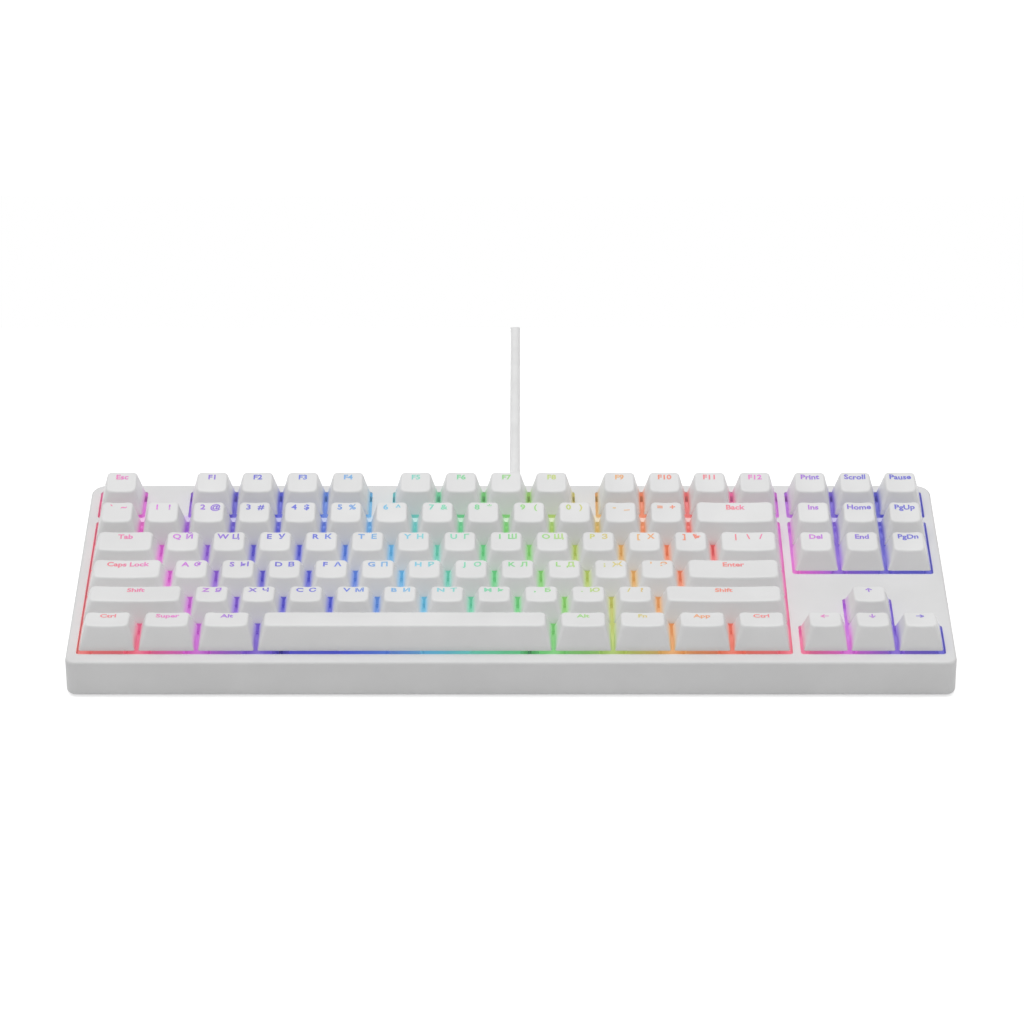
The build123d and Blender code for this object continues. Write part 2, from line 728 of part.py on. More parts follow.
def deck_openings():
    """One opening for each block of keys."""
    pitch = KEY_PITCH
    rows_top = LETTER_ROWS * pitch
    row_top = FUNCTION_ROW_V + pitch
    openings = [
        opening(0, MAIN_WIDTH, 0, rows_top),
        opening(0, pitch, FUNCTION_ROW_V, row_top),
        opening(SIDE_BLOCK_U, GRID_WIDTH, FUNCTION_ROW_V, row_top),
        opening(SIDE_BLOCK_U, GRID_WIDTH, 3 * pitch, rows_top),
        opening(SIDE_BLOCK_U, GRID_WIDTH, 0, pitch),
        opening(SIDE_BLOCK_U + pitch, SIDE_BLOCK_U + 2 * pitch, 0, 2 * pitch),
    ]
    for left in (2, 6.5, 11):
        openings.append(opening(left * pitch, (left + 4) * pitch, FUNCTION_ROW_V, row_top))
    return on_deck(openings)


def front_tabs(growth):
    """The tray's snap tabs, or with growth the pockets for them in the case's front wall."""
    inner_face = -CASE_DEPTH / 2 + CASE_WALL
    low = FLOOR_TOP - growth
    high = FLOOR_TOP + TAB_HEIGHT + growth
    half = TAB_WIDTH / 2 + growth
    depth = (inner_face - TAB_REACH - growth, inner_face + SEAM + TRAY_LIP_THICKNESS / 2)
    middle = (TAB_COUNT - 1) / 2
    return [
        Pos((index - middle) * TAB_SPACING, 0, 0) * block((-half, half), depth, (low, high))
        for index in range(TAB_COUNT)
    ]


def boss_columns(radius, z_low):
    """Upright columns under the deck at the case screws."""
    columns = []
    for u, v in BOSS_PLACES:
        foot = deck_point(u, v, BOARD_TOP)
        height = 2 * FRONT_TOP
        column = Pos(foot.X, foot.Y, z_low + height / 2) * Cylinder(radius, height)
        columns.append(lone_solid(column & below_deck(-DECK_THICKNESS / 2)))
    return columns


def top_case():
    """The upper shell: a sloping deck with key openings, and walls down to the lower edge."""
    shell = extrude(plan(0, CASE_BASE), amount=3 * FRONT_TOP) & below_deck(0)
    shell = fillet(shell.faces().sort_by(Axis.Z)[-1].edges(), TOP_EDGE_RADIUS)
    shell = fillet(shell.faces().sort_by(Axis.Z)[0].edges(), LOWER_EDGE_RADIUS)
    inside = extrude(plan(CASE_WALL, 0), amount=3 * FRONT_TOP) & below_deck(-DECK_THICKNESS)
    shell -= inside
    shell -= deck_openings()
    shell += boss_columns(BOSS_RADIUS, FLOOR_TOP)
    shell -= [screw_shank(place) for place in BOSS_PLACES]
    shell -= front_tabs(SEAM)
    rear_hole = Pos(CORD_X, REAR_Y - CASE_WALL / 2, CORD_EXIT_HEIGHT) * Rot(90, 0, 0)
    shell -= rear_hole * Cylinder(BOOT_NECK_RADIUS + BOOT_FIT, 2 * CASE_WALL)
    return lone_solid(shell)


def screw_shank(place):
    """The threaded length of a case screw, from its head's seat up."""
    foot = deck_point(*place, BOARD_TOP)
    seat = CASE_BASE + CASE_SCREW_HEAD_HEIGHT
    shank = post(CASE_SCREW_RADIUS, seat, seat + CASE_SCREW_LENGTH)
    return Pos(foot.X, foot.Y, 0) * shank


def case_screws():
    """Screws from under the tray into the bosses of the upper shell."""
    screws = []
    for place in BOSS_PLACES:
        foot = deck_point(*place, BOARD_TOP)
        head = post(CASE_SCREW_HEAD_RADIUS, CASE_BASE, CASE_BASE + CASE_SCREW_HEAD_HEIGHT)
        screws.append(lone_solid(Pos(foot.X, foot.Y, 0) * head + screw_shank(place)))
    return screws


PAD_X = CASE_WIDTH / 2 - PAD_SIDE_INSET
PAD_FRONT_Y = -CASE_DEPTH / 2 + PAD_FRONT_INSET
PAD_REAR_Y = REAR_Y - PAD_REAR_INSET
PAD_PLACES = [(side * PAD_X, y) for side in (-1, 1) for y in (PAD_FRONT_Y, PAD_REAR_Y)]


def rubber_pads():
    """The round-ended pads that the keyboard stands on."""
    pad = extrude(SlotOverall(PAD_LENGTH, PAD_WIDTH), amount=PAD_HEIGHT)
    return [lone_solid(Pos(x, y, 0) * pad) for x, y in PAD_PLACES]


FOOT_X = CASE_WIDTH / 2 - FOOT_SIDE_INSET
FOOT_PIVOT_Y = REAR_Y - FOOT_REAR_INSET
FOOT_PIVOT_Z = CASE_BASE + FOOT_THICKNESS / 2


def flip_foot(side):
    """A folded foot: a leg that points to the front, with a barrel and two pins at its rear end."""
    half = FOOT_WIDTH / 2
    barrel = Rot(0, 90, 0) * Cylinder(FOOT_THICKNESS / 2, FOOT_WIDTH)
    pins = Rot(0, 90, 0) * Cylinder(FOOT_PIN_RADIUS, FOOT_WIDTH + 2 * FOOT_PIN_LENGTH)
    thickness = (-FOOT_THICKNESS / 2, FOOT_THICKNESS / 2)
    leg = block((-half, half), (-FOOT_LENGTH, 0), thickness)
    foot = Pos(side * FOOT_X, FOOT_PIVOT_Y, FOOT_PIVOT_Z) * (leg + barrel + pins)
    return lone_solid(foot)


def foot_well(side, growth):
    """The hollow that a folded foot lies in, or with growth the walls around it."""
    half = FOOT_WIDTH / 2 + FOOT_CLEARANCE + growth
    reach = FOOT_LENGTH + FOOT_CLEARANCE + growth
    back = FOOT_THICKNESS / 2 + FOOT_CLEARANCE + growth
    top = FOOT_PIVOT_Z + FOOT_THICKNESS / 2 + FOOT_CLEARANCE + growth
    hollow = block((-half, half), (-reach, back), (CASE_BASE, top))
    return Pos(side * FOOT_X, FOOT_PIVOT_Y, 0) * hollow


def foot_bearing(side):
    """The bore through a well's two cheeks that the foot's pins turn in."""
    length = FOOT_WIDTH + 2 * FOOT_PIN_LENGTH + 2 * FOOT_CLEARANCE
    bore = Rot(0, 90, 0) * Cylinder(FOOT_PIN_RADIUS + PIN_CLEARANCE, length)
    return Pos(side * FOOT_X, FOOT_PIVOT_Y, FOOT_PIVOT_Z) * bore


def tray_posts():
    """Posts that carry the plate, square to it, from the tray's floor."""
    posts = []
    above_floor = Pos(0, 0, CASE_BASE + FRONT_TOP + FLOOR_THICKNESS / 2)
    keep = above_floor * Box(2 * CASE_WIDTH, 2 * CASE_DEPTH, 2 * FRONT_TOP)
    for u, v in POST_PLACES:
        column = (Pos(u, v, 0) * post(POST_RADIUS, -3 * FRONT_TOP, PLATE_UNDERSIDE)).moved(DECK)
        posts.append(lone_solid(column & keep))
    return posts


def bottom_case():
    """The tray: floor, locating lip, snap tabs, posts, foot wells and pad seats."""
    edge = CASE_WALL + SEAM
    tray = extrude(plan(edge, CASE_BASE), amount=FLOOR_THICKNESS)
    lip = extrude(plan(edge, FLOOR_TOP), amount=TRAY_LIP_HEIGHT)
    lip -= extrude(plan(edge + TRAY_LIP_THICKNESS, FLOOR_TOP), amount=TRAY_LIP_HEIGHT)
    lip -= Pos(CORD_X, REAR_Y - edge, FLOOR_TOP + TRAY_LIP_HEIGHT / 2) * Box(
        2 * BOOT_FLANGE_RADIUS + 1, 4 * TRAY_LIP_THICKNESS, TRAY_LIP_HEIGHT
    )
    tray += lip
    tray += front_tabs(0)
    tray += [foot_well(side, FOOT_WELL_WALL) for side in (-1, 1)]
    tray += tray_posts()
    tray -= [foot_well(side, 0) for side in (-1, 1)]
    tray -= [foot_bearing(side) for side in (-1, 1)]
    pad = extrude(SlotOverall(PAD_LENGTH, PAD_WIDTH), amount=PAD_HEIGHT)
    tray -= [Pos(x, y, 0) * pad for x, y in PAD_PLACES]
    shank = PLATE_TOP - PLATE_SCREW_LENGTH
    bore = post(PLATE_SCREW_RADIUS, shank, PLATE_TOP)
    tray -= on_deck([Pos(u, v, 0) * bore for u, v in POST_PLACES])
    hole = post(CASE_SCREW_RADIUS + SCREW_HOLE_CLEARANCE, 0, FLOOR_TOP)
    hole += post(CASE_SCREW_HEAD_RADIUS + SCREW_HOLE_CLEARANCE, 0, CASE_BASE + CASE_SCREW_HEAD_HEIGHT)
    for place in BOSS_PLACES:
        foot = deck_point(*place, BOARD_TOP)
        tray -= Pos(foot.X, foot.Y, 0) * hole
    return lone_solid(tray)


def damping_pad():
    """A soft sheet on the tray's floor under the board, cut out around posts and bosses."""
    span = (FLOOR_TOP, FLOOR_TOP + DAMPING_THICKNESS)
    sheet = block(
        (-DAMPING_HALF_LENGTH, DAMPING_HALF_LENGTH), (DAMPING_FRONT, DAMPING_REAR), span
    )
    clear = 2 * PASS_CLEARANCE
    for u, v in BOSS_PLACES + POST_PLACES:
        foot = deck_point(u, v, BOARD_TOP)
        sheet -= Pos(foot.X, foot.Y, 0) * post(BOSS_RADIUS + clear, *span)
    return lone_solid(sheet)


# ---------------------------------------------------------------- cord


def strain_relief():
    """A tapered rubber boot held in the rear wall between a flange and its root."""
    inner = REAR_Y - CASE_WALL
    profile = Polyline(
        (0, inner - BOOT_FLANGE_THICKNESS),
        (BOOT_FLANGE_RADIUS, inner - BOOT_FLANGE_THICKNESS),
        (BOOT_FLANGE_RADIUS, inner),
        (BOOT_NECK_RADIUS, inner),
        (BOOT_NECK_RADIUS, REAR_Y),
        (BOOT_ROOT_RADIUS, REAR_Y),
        (BOOT_TIP_RADIUS, CORD_EXIT_Y),
        (0, CORD_EXIT_Y),
        close=True,
    )
    boot = revolve(make_face(profile), axis=Axis.Y)
    return lone_solid(Pos(CORD_X, 0, CORD_EXIT_HEIGHT) * boot)


def inner_lead():
    """The cord's inner end, from the boot to the connector under the board."""
    start = Vector(CORD_X, REAR_Y - CASE_WALL - BOOT_FLANGE_THICKNESS, CORD_EXIT_HEIGHT)
    back = CONNECTOR_V + CONNECTOR_DEPTH / 2
    end = deck_point(connector_u(), back, BOARD_UNDERSIDE - CONNECTOR_HEIGHT / 2)
    quarter = (end.Y - start.Y) / 3
    slope = math.tan(TILT)
    path = FilletPolyline(
        start,
        (CORD_X, start.Y + quarter, start.Z),
        (CORD_X, end.Y - quarter, end.Z - quarter * slope),
        end,
        radius=4.0,
    )
    section = Plane(path @ 0, z_dir=path % 0) * Circle(INNER_LEAD_RADIUS)
    return lone_solid(sweep(section, path=path))


# The cord's route outside the case, before the coil: out of the boot, down to the desk and
# straight back. The last point lies beside the coil's middle.
CORD_REST = CORD_RADIUS + 0.02
STRAIGHT_END_Y = 272.0
COIL_X = CORD_X + COIL_OUTER_TURN
COIL_Y = 316.0
CORD_ROUTE = [
    (CORD_X, CORD_EXIT_Y, CORD_EXIT_HEIGHT),
    (CORD_X, CORD_EXIT_Y + 11.0, CORD_EXIT_HEIGHT - 0.4),
    (CORD_X + 0.2, CORD_EXIT_Y + 27.0, 4.6),
    (CORD_X + 0.1, CORD_EXIT_Y + 46.0, CORD_REST),
    (CORD_X - 0.3, STRAIGHT_END_Y, CORD_REST),
    (CORD_X, COIL_Y, CORD_REST),
]

PLUG_Z = GRIP_HEIGHT / 2
PLUG_X = COIL_X + 42.0
PLUG_Y = COIL_Y + COIL_OUTER_TURN + 1.0
COIL_EXIT_Z = CORD_RADIUS + CORD_DIAMETER
END_ROUTE = [
    (COIL_X, COIL_Y + COIL_OUTER_TURN, COIL_EXIT_Z),
    (COIL_X + 13.0, COIL_Y + COIL_OUTER_TURN - 0.2, COIL_EXIT_Z - 0.3),
    (COIL_X + 28.0, COIL_Y + COIL_OUTER_TURN + 0.8, PLUG_Z + 0.3),
    (PLUG_X, PLUG_Y, PLUG_Z),
]


def corner_radii(points):
    """The radius of each corner: 0.45 of its shorter run over the tangent of half its turn."""
    radii = []
    for before, here, after in zip(points, points[1:], points[2:]):
        arriving = Vector(*here) - Vector(*before)
        leaving = Vector(*after) - Vector(*here)
        half_turn = math.radians(arriving.get_angle(leaving)) / 2
        radii.append(0.45 * min(arriving.length, leaving.length) / math.tan(half_turn))
    return radii


def cord_tube(name, points):
    """A tube along straight runs joined by tangent arcs."""
    radii = corner_radii(points)
    print(name, "arc radii:", [round(radius, 1) for radius in radii])
    path = FilletPolyline(*points, radius=radii)
    section = Plane(path @ 0, z_dir=path % 0) * Circle(CORD_RADIUS)
    tube = lone_solid(sweep(section, path=path))
    expected = math.pi * CORD_RADIUS**2 * path.length
    print(name, "length", round(path.length, 1), "volume ratio", round(tube.volume / expected, 4))
    return tube


def cord_coil():
    """The outer shape of the cord's neat coil: a flat ring two turns high."""
    ring = post(COIL_OUTER_RADIUS, 0, COIL_HEIGHT) - post(COIL_HOLE_RADIUS, 0, COIL_HEIGHT)
    return lone_solid(Pos(COIL_X, COIL_Y, 0.02) * ring)


def cord_tie():
    """The strap around one side of the coil."""
    inner = COIL_HOLE_RADIUS - TIE_CLEARANCE
    outer = COIL_OUTER_RADIUS + TIE_CLEARANCE
    top = COIL_HEIGHT + TIE_CLEARANCE
    half = TIE_WIDTH / 2
    chord = math.sqrt(COIL_HOLE_RADIUS**2 - half**2)
    strap = block(
        (chord - TIE_CLEARANCE - TIE_THICKNESS, outer + TIE_THICKNESS),
        (-half, half),
        (-TIE_CLEARANCE, top + TIE_THICKNESS),
    )
    strap -= block((chord - TIE_CLEARANCE, outer), (-half, half), (-TIE_CLEARANCE, top))
    strap = strap & block((0, 2 * outer), (-half, half), (0, 2 * top))
    return lone_solid(Pos(COIL_X, COIL_Y, 0.02) * strap)


def plug_grip():
    """The moulded grip of the plug."""
    outline = RectangleRounded(GRIP_WIDTH, GRIP_HEIGHT, GRIP_RADIUS)
    grip = extrude(outline, amount=GRIP_LENGTH)
    mouth = GRIP_LENGTH - SHELL_SEAT
    grip -= Pos(0, 0, mouth) * extrude(Rectangle(SHELL_WIDTH, SHELL_HEIGHT), amount=SHELL_SEAT)
    return lone_solid(plug_place() * grip)


def plug_place():
    """The plug's own frame: its z runs along the plug, from the cord to the mouth."""
    return Pos(PLUG_X, PLUG_Y, PLUG_Z) * Rot(0, 90, 90)


def plug_shell():
    """The metal shell of the plug, with the contact tongue inside it."""
    seat = GRIP_LENGTH - SHELL_SEAT
    shell = extrude(Rectangle(SHELL_WIDTH, SHELL_HEIGHT), amount=SHELL_LENGTH)
    hollow_width = SHELL_WIDTH - 2 * SHELL_WALL
    hollow_height = SHELL_HEIGHT - 2 * SHELL_WALL
    shell -= extrude(Rectangle(hollow_width, hollow_height), amount=SHELL_LENGTH)
    tongue_low = hollow_height / 2 - TONGUE_THICKNESS
    middle = (tongue_low + hollow_height / 2) / 2
    tongue_outline = Pos(0, middle) * Rectangle(hollow_width, TONGUE_THICKNESS)
    tongue = extrude(tongue_outline, amount=SHELL_LENGTH - TONGUE_SHORTFALL)
    place = plug_place() * Pos(0, 0, seat)
    return [lone_solid(place * shell), lone_solid(place * tongue)]


# ---------------------------------------------------------------- all nodes


def build_nodes():
    """Every node's name and its solids."""
    nodes = {name: on_deck(solids) for name, solids in key_nodes().items()}
    guides, wires = stabiliser_parts()
    nodes.update({name: on_deck([wire]) for name, wire in wires.items()})
    led = square_block(LED_WIDTH, BOARD_TOP, BOARD_TOP + LED_HEIGHT, LED_DEPTH)
    nodes["switch_lower_housings"] = on_deck(at_each_key(lower_housing()))
    nodes["switch_upper_housings"] = on_deck(at_each_key(upper_housing()))
    nodes["switch_springs"] = on_deck(at_each_key(spring()))
    nodes["key_leds"] = on_deck(at_each_key(led, LED_BACK))
    nodes["stabiliser_housings"] = on_deck(guides)
    nodes["switch_plate"] = on_deck([switch_plate()])
    nodes["circuit_board"] = on_deck([circuit_board()])
    nodes["plate_screws"] = on_deck(plate_screws())
    nodes["controller_chips"] = on_deck(controller_chips())
    nodes["board_connector"] = on_deck([board_connector()])
    nodes["inner_lead"] = [inner_lead()]
    nodes["top_case"] = [top_case()]
    nodes["bottom_case"] = [bottom_case()]
    nodes["damping_pad"] = [damping_pad()]
    nodes["case_screws"] = case_screws()
    nodes["rubber_pads"] = rubber_pads()
    nodes["left_foot"] = [flip_foot(-1)]
    nodes["right_foot"] = [flip_foot(1)]
    nodes["strain_relief"] = [strain_relief()]
    nodes["cord"] = [cord_tube("cord", CORD_ROUTE)]
    nodes["cord_coil"] = [cord_coil()]
    nodes["cord_end"] = [cord_tube("cord_end", END_ROUTE)]
    nodes["cord_tie"] = [cord_tie()]
    nodes["plug_grip"] = [plug_grip()]
    nodes["plug_shell"] = plug_shell()
    return nodes


os.makedirs("parts", exist_ok=True)
for node_name, node_solids in build_nodes().items():
    save(node_name, node_solids)
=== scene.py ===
"""A wired compact keyboard in pale plastic, lit from under its keys.

Builds the surfaces and finishes that stand on the keyboard's fixed CAD frame: moulded keycaps with
their legends, the springs under them, the cord with its boot, coil, tie and plug grip, and a
material for every CAD node.
"""

import logging
import math
from dataclasses import dataclass
from enum import Enum
from typing import Any

import bpy
import numpy as np
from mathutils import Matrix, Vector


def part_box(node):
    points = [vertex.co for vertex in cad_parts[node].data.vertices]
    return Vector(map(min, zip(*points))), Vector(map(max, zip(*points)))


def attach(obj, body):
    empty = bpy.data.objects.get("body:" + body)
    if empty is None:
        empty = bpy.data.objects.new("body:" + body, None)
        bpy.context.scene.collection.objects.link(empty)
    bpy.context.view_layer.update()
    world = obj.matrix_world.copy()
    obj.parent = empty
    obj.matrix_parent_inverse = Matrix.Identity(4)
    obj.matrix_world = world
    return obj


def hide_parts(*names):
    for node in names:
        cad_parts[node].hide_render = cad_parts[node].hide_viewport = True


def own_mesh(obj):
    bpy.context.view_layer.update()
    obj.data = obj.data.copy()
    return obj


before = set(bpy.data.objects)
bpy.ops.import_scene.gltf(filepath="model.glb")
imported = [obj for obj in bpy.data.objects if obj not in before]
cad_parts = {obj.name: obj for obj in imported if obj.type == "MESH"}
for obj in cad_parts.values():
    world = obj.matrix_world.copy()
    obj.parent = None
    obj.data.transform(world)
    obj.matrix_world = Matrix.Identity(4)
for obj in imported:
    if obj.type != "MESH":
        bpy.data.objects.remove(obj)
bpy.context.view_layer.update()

Socket = bpy.types.NodeSocket
Node = bpy.types.Node
Material = bpy.types.Material
Object = bpy.types.Object
Pair = tuple[float, float]

LOG = logging.getLogger("keyboard")
MM = 0.001
PITCH = 19.05 * MM
BLOCK_GAP = 4.05 * MM
TILT = math.radians(5.0)


# ---------------------------------------------------------------- shared tools


def srgb(code: str) -> tuple[float, float, float, float]:
    """Turns a hex colour into the linear colour that a shader takes.

    Args:
        code: The colour as "#RRGGBB".

    Returns:
        Linear red, green and blue, and an alpha of one.
    """
    channels = [int(code[start : start + 2], 16) / 255 for start in (1, 3, 5)]
    linear = [c / 12.92 if c <= 0.04045 else ((c + 0.055) / 1.055) ** 2.4 for c in channels]
    return (linear[0], linear[1], linear[2], 1.0)


def per_metre(size_mm: float) -> float:
    """The texture scale whose features are about size_mm across, on coordinates in metres."""
    return 1.0 / (size_mm * MM)


def smooth_step(share: np.ndarray) -> np.ndarray:
    """A share held from 0 to 1 and eased at both ends: its square times three less twice itself."""
    held = np.clip(share, 0, 1)
    return held**2 * (3 - 2 * held)


def linked(name: str, data: bpy.types.ID) -> Object:
    """A new object in the scene that holds the data."""
    made = bpy.data.objects.new(name, data)
    bpy.context.collection.objects.link(made)
    return made


def seat(made: Object, body: str, slot: str, *replaced: str) -> Object:
    """Gives a piece the body that carries it, and hides the CAD nodes that it stands in for."""
    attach(made, body)
    if replaced:
        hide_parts(*replaced)
    return made


class ShaderSheet:
    """A material's or a world's node tree, filled node by node."""

    def __init__(self, name: str, kept_in: Any = None) -> None:
        """Starts an empty tree.

        Args:
            name: The name of the material or world.
            kept_in: The list that its owner is made in; the materials, if none is given.
        """
        self.owner = (bpy.data.materials if kept_in is None else kept_in).new(name)
        self.owner.use_nodes = True
        self.tree = self.owner.node_tree
        self.tree.nodes.clear()

    def add(self, kind: str, inputs: dict[Any, Any] | None = None, **settings: Any) -> Node:
        """Adds a node, sets it and links it.

        Args:
            kind: The node's type, without the word ShaderNode in front.
            inputs: Socket name or number to a value, or to the socket that feeds it.
            settings: The node's own properties.

        Returns:
            The new node.
        """
        node = self.tree.nodes.new("ShaderNode" + kind)
        for name, value in settings.items():
            setattr(node, name, value)
        for key, value in (inputs or {}).items():
            if isinstance(value, Socket):
                self.tree.links.new(value, node.inputs[key])
            else:
                node.inputs[key].default_value = value
        return node

    def place(self) -> Socket:
        """The point on the piece, in metres, in the row frame."""
        return self.add("TexCoord").outputs["Object"]

    def noise(self, size_mm: float, detail: float = 2.0, stretch: tuple = (1, 1, 1)) -> Socket:
        """A soft random pattern.

        Args:
            size_mm: How wide its features are.
            detail: How many finer layers it carries.
            stretch: How much it is squeezed along each axis.

        Returns:
            The pattern's factor, around one half.
        """
        turned = self.add("Mapping", {"Vector": self.place(), "Scale": stretch})
        pattern = {"Vector": turned.outputs[0], "Scale": per_metre(size_mm), "Detail": detail}
        return self.add("TexNoise", pattern).outputs["Fac"]

    def spread(self, factor: Socket, low: float, high: float) -> Socket:
        """Maps a pattern around one half onto the range from low to high."""
        return self.remap(factor, (0.3, 0.7), (low, high))

    def remap(self, value: Socket, source: Pair, target: Pair = (0, 1), **settings: Any) -> Socket:
        """Maps a value from the source range onto the target range, and holds it to its ends."""
        ends = {"Value": value, "From Min": source[0], "From Max": source[1]}
        ends |= {"To Min": target[0], "To Max": target[1]}
        return self.add("MapRange", ends, **settings).outputs["Result"]

    def shades(self, factor: Socket, code: str, levels: Pair, ends: Pair = (0.3, 0.7)) -> Socket:
        """A colour at one level of brightness at a pattern's low end and at another at its high."""
        base = np.array(srgb(code)[:3])
        tones = [(*np.minimum(base * level, 1.0), 1.0) for level in levels]
        return self.ramp(factor, list(zip(ends, tones)))

    def ramp(self, factor: Socket, stops: list[tuple[float, tuple]]) -> Socket:
        """Turns a factor into a colour.

        Args:
            factor: Where on the ramp, from zero to one.
            stops: Pairs of a place on the ramp and a linear colour.

        Returns:
            The colour socket.
        """
        node = self.add("ValToRGB", {"Fac": factor})
        elements = node.color_ramp.elements
        while len(elements) < len(stops):
            elements.new(0.5)
        for element, (where, colour) in zip(elements, stops):
            element.position = where
            element.color = colour
        return node.outputs["Color"]

    def maths(self, operation: str, first: Any, second: Any = 0.0) -> Socket:
        """One sum on two numbers or sockets."""
        return self.add("Math", {0: first, 1: second}, operation=operation).outputs[0]

    def product(self, first: Any, *others: Any) -> Socket:
        """Numbers or sockets, all multiplied together."""
        for other in others:
            first = self.maths("MULTIPLY", first, other)
        return first

    def within(self, value: Socket, limit: float) -> Socket:
        """One where a value is nearer to zero than the limit, and zero elsewhere."""
        return self.maths("LESS_THAN", self.maths("ABSOLUTE", value), limit)

    def bump(self, height: Socket, depth_mm: float) -> Socket:
        """A surface relief of depth_mm from a pattern of height."""
        relief = {"Height": height, "Distance": depth_mm * MM, "Strength": 1.0}
        return self.add("Bump", relief).outputs["Normal"]

    def close(self, shader: Node) -> Material:
        """Leads the last shader to the material's output, which finishes the material."""
        self.add("OutputMaterial", {"Surface": shader.outputs[0]})
        return self.owner

    def surface(self, values: dict[str, Any]) -> Material:
        """The finished material, a principled surface with these inputs."""
        return self.close(self.add("BsdfPrincipled", values))


def closed_shell(rings: np.ndarray) -> tuple[np.ndarray, np.ndarray, np.ndarray]:
    """Joins rings of points into a closed surface, with a fan over its first and last ring.

    Point j of ring i joins point j+1 of the same ring and point j of the next; each end's fan meets
    in the mean of its ring. If the volume under the faces comes out negative, they are turned over.

    Args:
        rings: Array of shape (rings, points, 3), in metres.

    Returns:
        Points, quads and triangles.
    """
    count, around = rings.shape[:2]
    poles = rings[[0, -1]].mean(axis=1)
    points = np.concatenate([rings.reshape(-1, 3), poles])
    here = np.arange(around)
    after = (here + 1) % around
    start = np.arange(count - 1)[:, None] * around
    corners = [start + here, start + around + here, start + around + after, start + after]
    quads = np.stack(corners, axis=-1).reshape(-1, 4)
    last = (count - 1) * around
    first_fan = np.stack([np.full(around, count * around), here, after], axis=-1)
    last_fan = np.stack([np.full(around, count * around + 1), last + after, last + here], axis=-1)
    triangles = np.concatenate([first_fan, last_fan])
    halves = np.concatenate([quads[:, [0, 1, 2]], quads[:, [0, 2, 3]], triangles])
    a, b, c = points[halves].transpose(1, 0, 2)
    if np.einsum("ij,ij->", a, np.cross(b, c)) < 0:
        quads = quads[:, ::-1]
        triangles = triangles[:, ::-1]
    return points, quads, triangles


@dataclass(frozen=True)
class RoundedOutline:
    """A rounded rectangle's points, counter-clockwise, as weights on its size and corner radius."""

    corner_steps: int = 4
    side_steps: int = 5

    def weights(self) -> np.ndarray:
        """Rows of four weights: on the half sides less the radius, and on the radius."""
        turn = np.linspace(0, math.pi / 2, self.corner_steps + 1)
        along = np.linspace(1, -1, self.side_steps + 1)[1:-1]
        corner = [np.ones_like(turn), np.ones_like(turn), np.cos(turn), np.sin(turn)]
        side = [along, np.ones_like(along), np.zeros_like(along), np.ones_like(along)]
        quarter = np.concatenate([np.stack(corner, -1), np.stack(side, -1)])
        quarters = [quarter]
        for _ in range(3):
            x_side, y_side, x_arc, y_arc = quarters[-1].T
            quarters.append(np.stack([-y_side, x_side, -y_arc, x_arc], -1))
        return np.concatenate(quarters)

    def rings(self, half_x: np.ndarray, half_y: np.ndarray, radius: np.ndarray) -> np.ndarray:
        """Lays the outline out once for each size given.

        Each point is its side weights times the half size less the radius, plus its arc weights
        times the radius.

        Args:
            half_x: Half widths, one per ring.
            half_y: Half depths, one per ring.
            radius: Corner radii, one per ring.

        Returns:
            Array of shape (rings, points, 2).
        """
        weights = self.weights()
        x = weights[:, 0] * (half_x - radius)[:, None] + weights[:, 2] * radius[:, None]
        y = weights[:, 1] * (half_y - radius)[:, None] + weights[:, 3] * radius[:, None]
        return np.stack([x, y], -1)


class PieceMesh:
    """Gathers closed shells and flat marks into one mesh piece."""

    def __init__(self, name: str) -> None:
        """Starts an empty piece called name."""
        self.name = name
        self.points: list[np.ndarray] = []
        self.faces: list[list[int]] = []
        self.slots: list[np.ndarray] = []
        self.total = 0

    def add(self, points: np.ndarray, groups: list[np.ndarray], slots: list[np.ndarray]) -> None:
        """Adds points and the faces on them.

        Args:
            points: Array of shape (points, 3).
            groups: Arrays of faces, each of one number of corners.
            slots: For each group, its faces' material numbers.
        """
        self.points.append(points)
        for faces, numbers in zip(groups, slots):
            self.faces += (faces + self.total).tolist()
            self.slots.append(numbers)
        self.total += len(points)

    def add_shell(self, rings: np.ndarray, ring_slots: np.ndarray | None = None) -> None:
        """Adds a closed shell of rings.

        Args:
            rings: Array of shape (rings, points, 3).
            ring_slots: The material number of each band between two rings.
        """
        points, quads, triangles = closed_shell(rings)
        around = rings.shape[1]
        bands = np.zeros(len(rings) - 1, int) if ring_slots is None else ring_slots
        fans = np.repeat([bands[0], bands[-1]], around)
        self.add(points, [quads, triangles], [np.repeat(bands, around), fans])

    def finish(self, materials: list[Material], crease: float = 35.0) -> Object:
        """Makes the object.

        Args:
            materials: The piece's materials, in the order of their numbers.
            crease: Edges sharper than this many degrees stay sharp.

        Returns:
            The new object, at the origin, with its place in its mesh.
        """
        mesh = bpy.data.meshes.new(self.name)
        mesh.from_pydata(np.concatenate(self.points).tolist(), [], self.faces)
        mesh.polygons.foreach_set("material_index", np.concatenate(self.slots).astype(np.int32))
        mesh.polygons.foreach_set("use_smooth", np.ones(len(mesh.polygons), bool))
        mesh.set_sharp_from_angle(angle=math.radians(crease))
        for material in materials:
            mesh.materials.append(material)
        return linked(self.name, mesh)


def loft(name: str, axes: list[np.ndarray], material: Material, crease: float = 35.0) -> Object:
    """Makes a piece of one closed shell, from the x, y and z of its rings' points."""
    piece = PieceMesh(name)
    piece.add_shell(np.stack(np.broadcast_arrays(*axes), -1))
    return piece.finish([material], crease)


# ---------------------------------------------------------------- the deck


